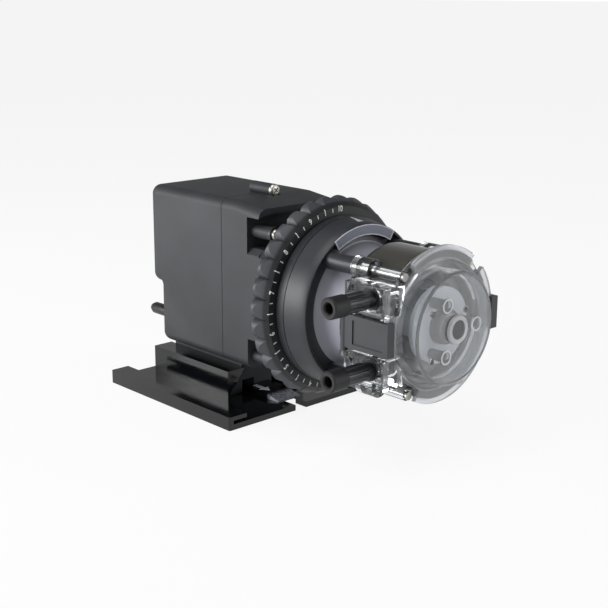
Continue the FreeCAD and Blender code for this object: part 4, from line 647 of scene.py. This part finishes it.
class PumpStyle(bpy.types.PropertyGroup):
    """Sizes and colours that a user would change."""
    number_height: bpy.props.FloatProperty(
        name="Number height", description="Height of the dial numbers", default=3.7 * MM,
        min=1 * MM, max=8 * MM, unit="LENGTH")
    number_radius: bpy.props.FloatProperty(
        name="Number radius", description="Distance of the dial numbers from the axis", default=59.6 * MM,
        unit="LENGTH")
    number_first: bpy.props.FloatProperty(
        name="First number", description="Angle of the highest number from the top",
        default=math.radians(1.2), subtype="ANGLE")
    number_step: bpy.props.FloatProperty(
        name="Number step", description="Angle between two dial numbers",
        default=math.radians(26.14), subtype="ANGLE")
    long_tick: bpy.props.FloatProperty(
        name="Long tick", description="Length of the middle tick of each gap", default=4.2 * MM,
        unit="LENGTH")
    short_tick: bpy.props.FloatProperty(
        name="Short tick", description="Length of the quarter ticks", default=2.7 * MM, unit="LENGTH")
    tick_width: bpy.props.FloatProperty(
        name="Tick width", description="Width of every tick", default=0.62 * MM, unit="LENGTH")
    case_dark: bpy.props.StringProperty(
        name="Case dark", description="Darker shade of the textured case", default="#232529")
    case_light: bpy.props.StringProperty(
        name="Case light", description="Lighter shade of the textured case", default="#292b30")
    front_dark: bpy.props.StringProperty(
        name="Front dark", description="Darker shade of the front housing", default="#25262b")
    front_light: bpy.props.StringProperty(
        name="Front light", description="Lighter shade of the front housing", default="#2b2c31")
    # Painted reflection: the pale field stands for the light that the pad's face reflects from above
    pad_colour: bpy.props.StringProperty(
        name="Pad", description="Colour of the painted field on the raised pad", default="#767987")
    # Painted highlight: the pale line stands for the light along the pad's rounded edge
    pad_edge: bpy.props.StringProperty(
        name="Pad edge", description="Colour of the line round the painted field", default="#c6c8d4")
    bracket_colour: bpy.props.StringProperty(
        name="Bracket", description="Colour of the polished bracket", default="#0a0b0e")
    clear_tint: bpy.props.StringProperty(
        name="Clear tint", description="Tint of the clear head", default="#eef1f4")
    mark_colour: bpy.props.StringProperty(
        name="Marks", description="Colour of the printed marks", default="#e8e8e6")
    floor_colour: bpy.props.StringProperty(
        name="Floor", description="Colour of the floor", default="#f4f4f4")


class PumpPart(bpy.types.Operator):
    """Shared options of the pump's build steps."""
    bl_options = {"REGISTER", "UNDO"}

    @classmethod
    def poll(cls, context):
        return context.scene is not None


class PUMP_OT_case(PumpPart):
    """Finish the motor cover, gear case and cord gland"""
    bl_idname = "pump.case"
    bl_label = "Case"

    def execute(self, context):
        dress_all(["motor_cover", "gear_case"], textured_abs())
        dress("cord_gland", moulded("moulded_black_pvc", "#101113", 0.42, grain=0.6, strength=0.2, ior=1.54))
        return {"FINISHED"}


class PUMP_OT_bracket(PumpPart):
    """Finish the slide-on bracket and its latch tongue, with a direction arrow"""
    bl_idname = "pump.bracket"
    bl_label = "Bracket"

    def execute(self, context):
        dress("mounting_bracket", gloss_abs())
        dress("latch_tongue", worn_tongue())
        middle, half_width, half_shaft = -0.0104, 4.2 * MM, 1.8 * MM
        tail, neck, tip = -0.0256, -0.0352, -0.0420
        outline = [(middle - half_shaft, tail), (middle - half_shaft, neck), (middle - half_width, neck),
                   (middle, tip), (middle + half_width, neck), (middle + half_shaft, neck),
                   (middle + half_shaft, tail)]
        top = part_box("latch_tongue")[1][2]
        sunk = 0.05 * MM
        arrow = slab_mesh("direction_arrow", [(x, y, top - sunk) for x, y in outline],
                          [(x, y, top + PRINT_THICKNESS) for x, y in outline])
        mesh_piece("direction_arrow", arrow, moulded("printed_grey_ink", "#eceef4", 0.5), "tongue")
        return {"FINISHED"}


class PUMP_OT_dial(PumpPart):
    """Finish the dial ring and print its numbers and ticks"""
    bl_idname = "pump.dial"
    bl_label = "Dial"

    def execute(self, context):
        dress("dial_ring", dial_acetal())
        ink = moulded("white_pad_print", style().mark_colour, 0.5)
        mesh_piece("dial_numbers", self.numbers(), ink, "dial")
        mesh_piece("dial_ticks", self.ticks(ink), ink, "dial")
        return {"FINISHED"}

    def numbers(self):
        """All numbers as one mesh, each cut into strips where it bends over the dial's edge."""
        highest = 10
        radius = style().number_radius
        strip = 0.4 * MM
        strips = 4
        stand = Matrix.Rotation(math.radians(90), 4, "X")
        condensed = Matrix.Diagonal((0.86, 1.0, 1.0, 1.0))
        joined = bmesh.new()
        for value in range(1, highest + 1):
            angle = style().number_first - (highest - value) * style().number_step
            mesh = number_mesh(str(value), style().number_height)
            flat = bmesh.new()
            flat.from_mesh(mesh)
            for step in range(strips):
                height = SHOULDER_RADIUS - radius + step * strip
                bmesh.ops.bisect_plane(flat, geom=flat.verts[:] + flat.edges[:] + flat.faces[:],
                                       plane_co=(0, height, 0), plane_no=(0, 1, 0))
            flat.to_mesh(mesh)
            flat.free()
            around = Matrix.Rotation(angle, 4, "Y")
            mesh.transform(Matrix.Translation(on_dial(angle, radius)) @ around @ stand @ condensed)
            settle_on_shoulder(mesh)
            joined.from_mesh(mesh)
            bpy.data.meshes.remove(mesh)
        bmesh.ops.remove_doubles(joined, verts=joined.verts, dist=0.001 * MM)
        return finished_mesh(joined, "dial_numbers")

    def ticks(self, ink):
        """All ticks as one mesh, bent over the dial's edge like the numbers."""
        holder = node_holder("dial_ticks", tick_tree(ink), {
            "Count": 27, "First angle": style().number_first, "Number step": style().number_step,
            "Long outer radius": 61.9 * MM, "Long length": style().long_tick, "Short radius": 59.4 * MM,
            "Short length": style().short_tick, "Width": style().tick_width, "Face": DIAL_FACE})
        mesh = evaluated_mesh(holder, "dial_ticks")
        settle_on_shoulder(mesh)
        return mesh


class PUMP_OT_front(PumpPart):
    """Finish the front housing and the rate control housing, and print the pointer"""
    bl_idname = "pump.front"
    bl_label = "Front housing"

    def execute(self, context):
        dress_all(["front_housing", "control_housing"], satin_nylon())
        self.pointer()
        return {"FINISHED"}

    def pointer(self):
        """Printed triangle on the sloping rim that points at the dial's set number."""
        middle, half_width, point, base = 1.6 * MM, 2.3 * MM, -0.1068, -0.1168
        rim_radius, rim_edge, rim_slope = 55.7 * MM, -0.1061, 2.4 / 15.2
        sunk = 0.06 * MM
        corners = [(x, y, rim_radius - (rim_edge - y) * rim_slope) for x, y in
                   ((middle, point), (middle - half_width, base), (middle + half_width, base))]
        lower, upper = ([(x, y, AXIS_HEIGHT + math.sqrt((radius + lift) ** 2 - x * x))
                         for x, y, radius in corners] for lift in (-sunk, PRINT_THICKNESS))
        mesh_piece("rate_pointer", slab_mesh("rate_pointer", lower, upper),
                   moulded("pale_pointer_print", "#b4b6b8", 0.5), "pump_frame")


class PUMP_OT_head(PumpPart):
    """Finish the clear tube housing, the head cover and the pump tube"""
    bl_idname = "pump.head"
    bl_label = "Clear head"

    def execute(self, context):
        dress("tube_housing", clear_polycarbonate("clear_moulded_polycarbonate", barrel_shade=True, milk=0.03))
        dress("head_cover", clear_polycarbonate("hazed_moulded_polycarbonate", barrel_shade=False, milk=0.09))
        dress("pump_tube", moulded("pharmaceutical_rubber_tube", "#5c5b57", 0.4, grain=0.8))
        return {"FINISHED"}


class PUMP_OT_rollers(PumpPart):
    """Finish the roller hub, rollers, pins, main shaft and the bearing in the cover"""
    bl_idname = "pump.rollers"
    bl_label = "Rollers"

    def execute(self, context):
        dress("roller_hub", hub_nylon())
        dress_all(["roller_a", "roller_b", "roller_c"], moulded("black_acetal_roller", "#2b2c2f", 0.3))
        dress_all(["roller_pins", "main_shaft"], bare_metal("ground_stainless_steel", "#c9c9c6", 0.22))
        dress("cover_bearing", bare_metal("sintered_steel", "#96928c", 0.4))
        return {"FINISHED"}


class PUMP_OT_ports(PumpPart):
    """Finish the tube nuts, fittings and ferrules"""
    bl_idname = "pump.ports"
    bl_label = "Tube ports"

    def execute(self, context):
        dress_all(["upper_nut", "lower_nut"], fluted_nylon())
        dress_all(["upper_fitting", "lower_fitting"], moulded("black_polypropylene", "#151618", 0.4))
        dress("ferrules", moulded("black_polyethylene", "#101113", 0.5))
        return {"FINISHED"}


class PUMP_OT_latches(PumpPart):
    """Finish the side latches and their pins"""
    bl_idname = "pump.latches"
    bl_label = "Latches"

    def execute(self, context):
        dress_all(["left_latch", "right_latch"],
                  moulded("grey_textured_acetal", "#34363a", 0.5, grain=0.5, strength=0.2))
        dress("latch_pins", bare_metal("zinc_plated_steel", "#c4c2bd", 0.28))
        return {"FINISHED"}


class PUMP_OT_drive(PumpPart):
    """Finish the motor, gears and rate mechanism inside the case"""
    bl_idname = "pump.drive"
    bl_label = "Drive"

    def execute(self, context):
        steel = bare_metal("turned_carbon_steel", "#b4b3ae", 0.3)
        bronze = bare_metal("oil_filled_bronze", "#9a7d4f", 0.42)
        gear_plastic = moulded("natural_acetal_gear", "#dcdad2", 0.38)
        # Silicon-steel plates stacked along the motor's axis, drawn thicker than real ones to show
        dress_all(["stator_core", "rotor_core"],
                  banded_metal("laminated_silicon_steel", "#6c6e70", "Y", pitch_mm=1.0, distortion=0.0,
                               strength=0.7, depth_mm=0.15, rough=0.42))
        # Enamelled copper wire under a dark varnish, its turns drawn wider than real ones to show
        dress("coil_winding",
              banded_metal("enamelled_copper_winding", "#8a4a26", "X", pitch_mm=0.5, distortion=0.2,
                           strength=0.8, depth_mm=0.2, rough=0.35))
        dress("coil_bobbin", moulded("white_nylon_bobbin", "#d8d8d4", 0.45))
        dress_all(["motor_plate", "front_motor_bracket", "rear_motor_bracket", "motor_bolts", "motor_shaft",
                   "gear_post", "output_spindle", "index_pin", "index_spring", "index_plate",
                   "plate_screws"], steel)
        dress_all(["motor_bushes", "spindle_bearing", "shaft_bearing", "motor_pinion"], bronze)
        dress_all(["intermediate_gear", "spindle_gear", "cooling_fan"], gear_plastic)
        dress_all(["drive_disc", "variable_cam"], moulded("black_moulded_nylon", "#1c1d1f", 0.4))
        return {"FINISHED"}


class PUMP_OT_screws(PumpPart):
    """Place the cross-recessed screws of the case and finish the head screws"""
    bl_idname = "pump.screws"
    bl_label = "Screws"

    def execute(self, context):
        zinc = bare_metal("zinc_plated_screw", "#bdbbb4", 0.3)
        radius, depth = 3.8 * MM, 2.6 * MM
        low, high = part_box("case_screws")
        spots = [(x, low[1] + depth, z) for x in (low[0] + radius, high[0] - radius)
                 for z in (low[2] + radius, high[2] - radius)]
        screw_heads("case_screw_heads", spots, radius, depth, zinc, "case_screws")
        radius, depth = 4.5 * MM, 2.8 * MM
        low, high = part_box("cover_screw")
        spots = [((low[0] + high[0]) / 2, low[1] + depth, (low[2] + high[2]) / 2)]
        screw_heads("cover_screw_head", spots, radius, depth, zinc, "cover_screw")
        dress("head_screws", zinc)
        return {"FINISHED"}


class PUMP_OT_stage(PumpPart):
    """Set the floor, backdrop, lights and camera"""
    bl_idname = "pump.stage"
    bl_label = "Studio"

    def execute(self, context):
        self.floor()
        self.lights(context)
        self.camera(context)
        context.scene.view_settings.view_transform = "Standard"
        return {"FINISHED"}

    def floor(self):
        """Wide pale floor just below the base, near white to the camera but with the shadow kept."""
        half_side, drop = 60.0, 0.2 * MM
        lit_share, mirrored_share = 0.88, 0.55
        material = bpy.data.materials.new("white_studio_floor")
        tree = emptied_tree(material)
        paint = add_node(tree, "ShaderNodeBsdfDiffuse", inputs={"Color": srgb(style().floor_colour)})
        glow = add_node(tree, "ShaderNodeEmission", inputs={"Color": (1, 1, 1, 1), "Strength": 1.0})
        path = add_node(tree, "ShaderNodeLightPath")
        direct = add_node(tree, "ShaderNodeMath", {"operation": "MAXIMUM"},
                          links={0: path.outputs["Is Camera Ray"], 1: path.outputs["Is Transmission Ray"]})
        mirrored = add_node(tree, "ShaderNodeMath", {"operation": "MULTIPLY"}, {1: mirrored_share},
                            {0: path.outputs["Is Glossy Ray"]})
        seen = add_node(tree, "ShaderNodeMath", {"operation": "MAXIMUM"},
                        links={0: direct.outputs["Value"], 1: mirrored.outputs["Value"]})
        share = add_node(tree, "ShaderNodeMath", {"operation": "MULTIPLY"}, {1: lit_share},
                         {0: seen.outputs["Value"]})
        mixed = add_node(tree, "ShaderNodeMixShader", links={0: share.outputs["Value"],
                                                             1: paint.outputs["BSDF"],
                                                             2: glow.outputs["Emission"]})
        add_node(tree, "ShaderNodeOutputMaterial", links={"Surface": mixed.outputs["Shader"]})
        mesh = bpy.data.meshes.new("studio_floor")
        mesh.from_pydata([(x * half_side, y * half_side, -drop) for x, y in
                          ((-1, -1), (1, -1), (1, 1), (-1, 1))], [], [(0, 1, 2, 3)])
        mesh.materials.append(material)
        place_object("studio_floor", mesh)

    def lights(self, context):
        """White room and four softboxes, each with its place, aim, size and power."""
        world = bpy.data.worlds.new("soft_studio")
        context.scene.world = world
        tree = emptied_tree(world)
        path = add_node(tree, "ShaderNodeLightPath")
        direct = add_node(tree, "ShaderNodeMath", {"operation": "MAXIMUM"},
                          links={0: path.outputs["Is Camera Ray"], 1: path.outputs["Is Transmission Ray"]})
        way = add_node(tree, "ShaderNodeTexCoord")
        split = add_node(tree, "ShaderNodeSeparateXYZ", links={"Vector": way.outputs["Generated"]})
        # The room is bright towards the horizon and falls off overhead
        lit = add_node(tree, "ShaderNodeMapRange",
                       inputs={"From Min": 0.05, "From Max": 0.75, "To Min": 0.5, "To Max": 0.16},
                       links={"Value": split.outputs["Z"]})
        mirrored = add_node(tree, "ShaderNodeMapRange",
                            inputs={"From Min": 0.3, "From Max": 0.6, "To Min": 0.42, "To Max": 0.12},
                            links={"Value": split.outputs["Z"]})
        soft = add_node(tree, "ShaderNodeMix", {"data_type": "FLOAT"},
                        links={"Factor": path.outputs["Is Glossy Ray"], "A": lit.outputs["Result"],
                               "B": mirrored.outputs["Result"]})
        strength = add_node(tree, "ShaderNodeMath", {"operation": "MAXIMUM"},
                            links={0: soft.outputs["Result"], 1: direct.outputs["Value"]})
        sky = add_node(tree, "ShaderNodeBackground", inputs={"Color": (1, 1, 1, 1)},
                       links={"Strength": strength.outputs["Value"]})
        add_node(tree, "ShaderNodeOutputWorld", links={"Surface": sky.outputs["Background"]})
        for name, spot, aim, size, power in (
                ("top_softbox", (-0.35, -0.1, 1.2), (0, -0.05, 0.08), (0.8, 0.8), 6.0),
                ("left_softbox", (-1.18, 0.58, 0.36), (0, -0.06, 0.07), (1.3, 0.6), 18.5),
                ("low_left_softbox", (-0.95, -0.75, 0.16), (0, -0.08, 0.05), (0.4, 0.3), 1.0),
                ("front_softbox", (0.75, -1.15, 0.45), (0, -0.1, 0.08), (0.7, 0.7), 5.0)):
            lamp = bpy.data.lights.new(name, "AREA")
            lamp.energy = power
            lamp.shape = "RECTANGLE"
            lamp.size, lamp.size_y = size
            holder = place_object(name, lamp)
            holder.location = spot
            holder.rotation_euler = (Vector(aim) - Vector(spot)).to_track_quat("-Z", "Y").to_euler()

    def camera(self, context):
        """Camera where the photograph was taken, looking at the middle of the pump."""
        azimuth, elevation, roll = math.radians(-43.33), math.radians(14.91), math.radians(0.34)
        focal_pixels, distance = 1161.04, 0.79557
        middle = Vector((0, -0.0685, 0.070))
        right_shift, up_shift = -0.00195, 0.00462
        outward = Vector((math.sin(azimuth) * math.cos(elevation), -math.cos(azimuth) * math.cos(elevation),
                          math.sin(elevation)))
        right = Vector((math.cos(azimuth), math.sin(azimuth), 0))
        up = outward.cross(right)
        target = middle + right * right_shift + up * up_shift
        turned_right = right * math.cos(roll) + up * math.sin(roll)
        turned_up = up * math.cos(roll) - right * math.sin(roll)
        data = bpy.data.cameras.new("photo_camera")
        data.sensor_width = 36.0
        data.lens = focal_pixels / IMAGE_SIZE * data.sensor_width
        data.clip_start = 0.01
        camera = place_object("photo_camera", data)
        pose = Matrix((turned_right, turned_up, outward)).transposed().to_4x4()
        pose.translation = target + outward * distance
        camera.matrix_world = pose
        context.scene.camera = camera


class PUMP_PT_panel(bpy.types.Panel):
    """Lists the pump's build steps"""
    bl_label = "Metering pump"
    bl_idname = "PUMP_PT_panel"
    bl_space_type = "VIEW_3D"
    bl_region_type = "UI"
    bl_category = "Metering pump"

    def draw(self, context):
        column = self.layout.column()
        for prop in PumpStyle.__annotations__:
            column.prop(context.scene.pump_style, prop)
        for step in STEPS:
            column.operator(step.bl_idname)


STEPS = [PUMP_OT_stage, PUMP_OT_case, PUMP_OT_bracket, PUMP_OT_dial, PUMP_OT_front, PUMP_OT_head,
         PUMP_OT_rollers, PUMP_OT_ports, PUMP_OT_latches, PUMP_OT_drive, PUMP_OT_screws]
CLASSES = [PumpStyle] + STEPS + [PUMP_PT_panel]


def register():
    for item in CLASSES:
        bpy.utils.register_class(item)
    bpy.types.Scene.pump_style = bpy.props.PointerProperty(type=PumpStyle)


def unregister():
    del bpy.types.Scene.pump_style
    for item in reversed(CLASSES):
        bpy.utils.unregister_class(item)


def main():
    """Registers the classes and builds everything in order."""
    register()
    for step in STEPS:
        group, name = step.bl_idname.split(".")
        getattr(getattr(bpy.ops, group), name)()


if __name__ == "__main__":
    main()
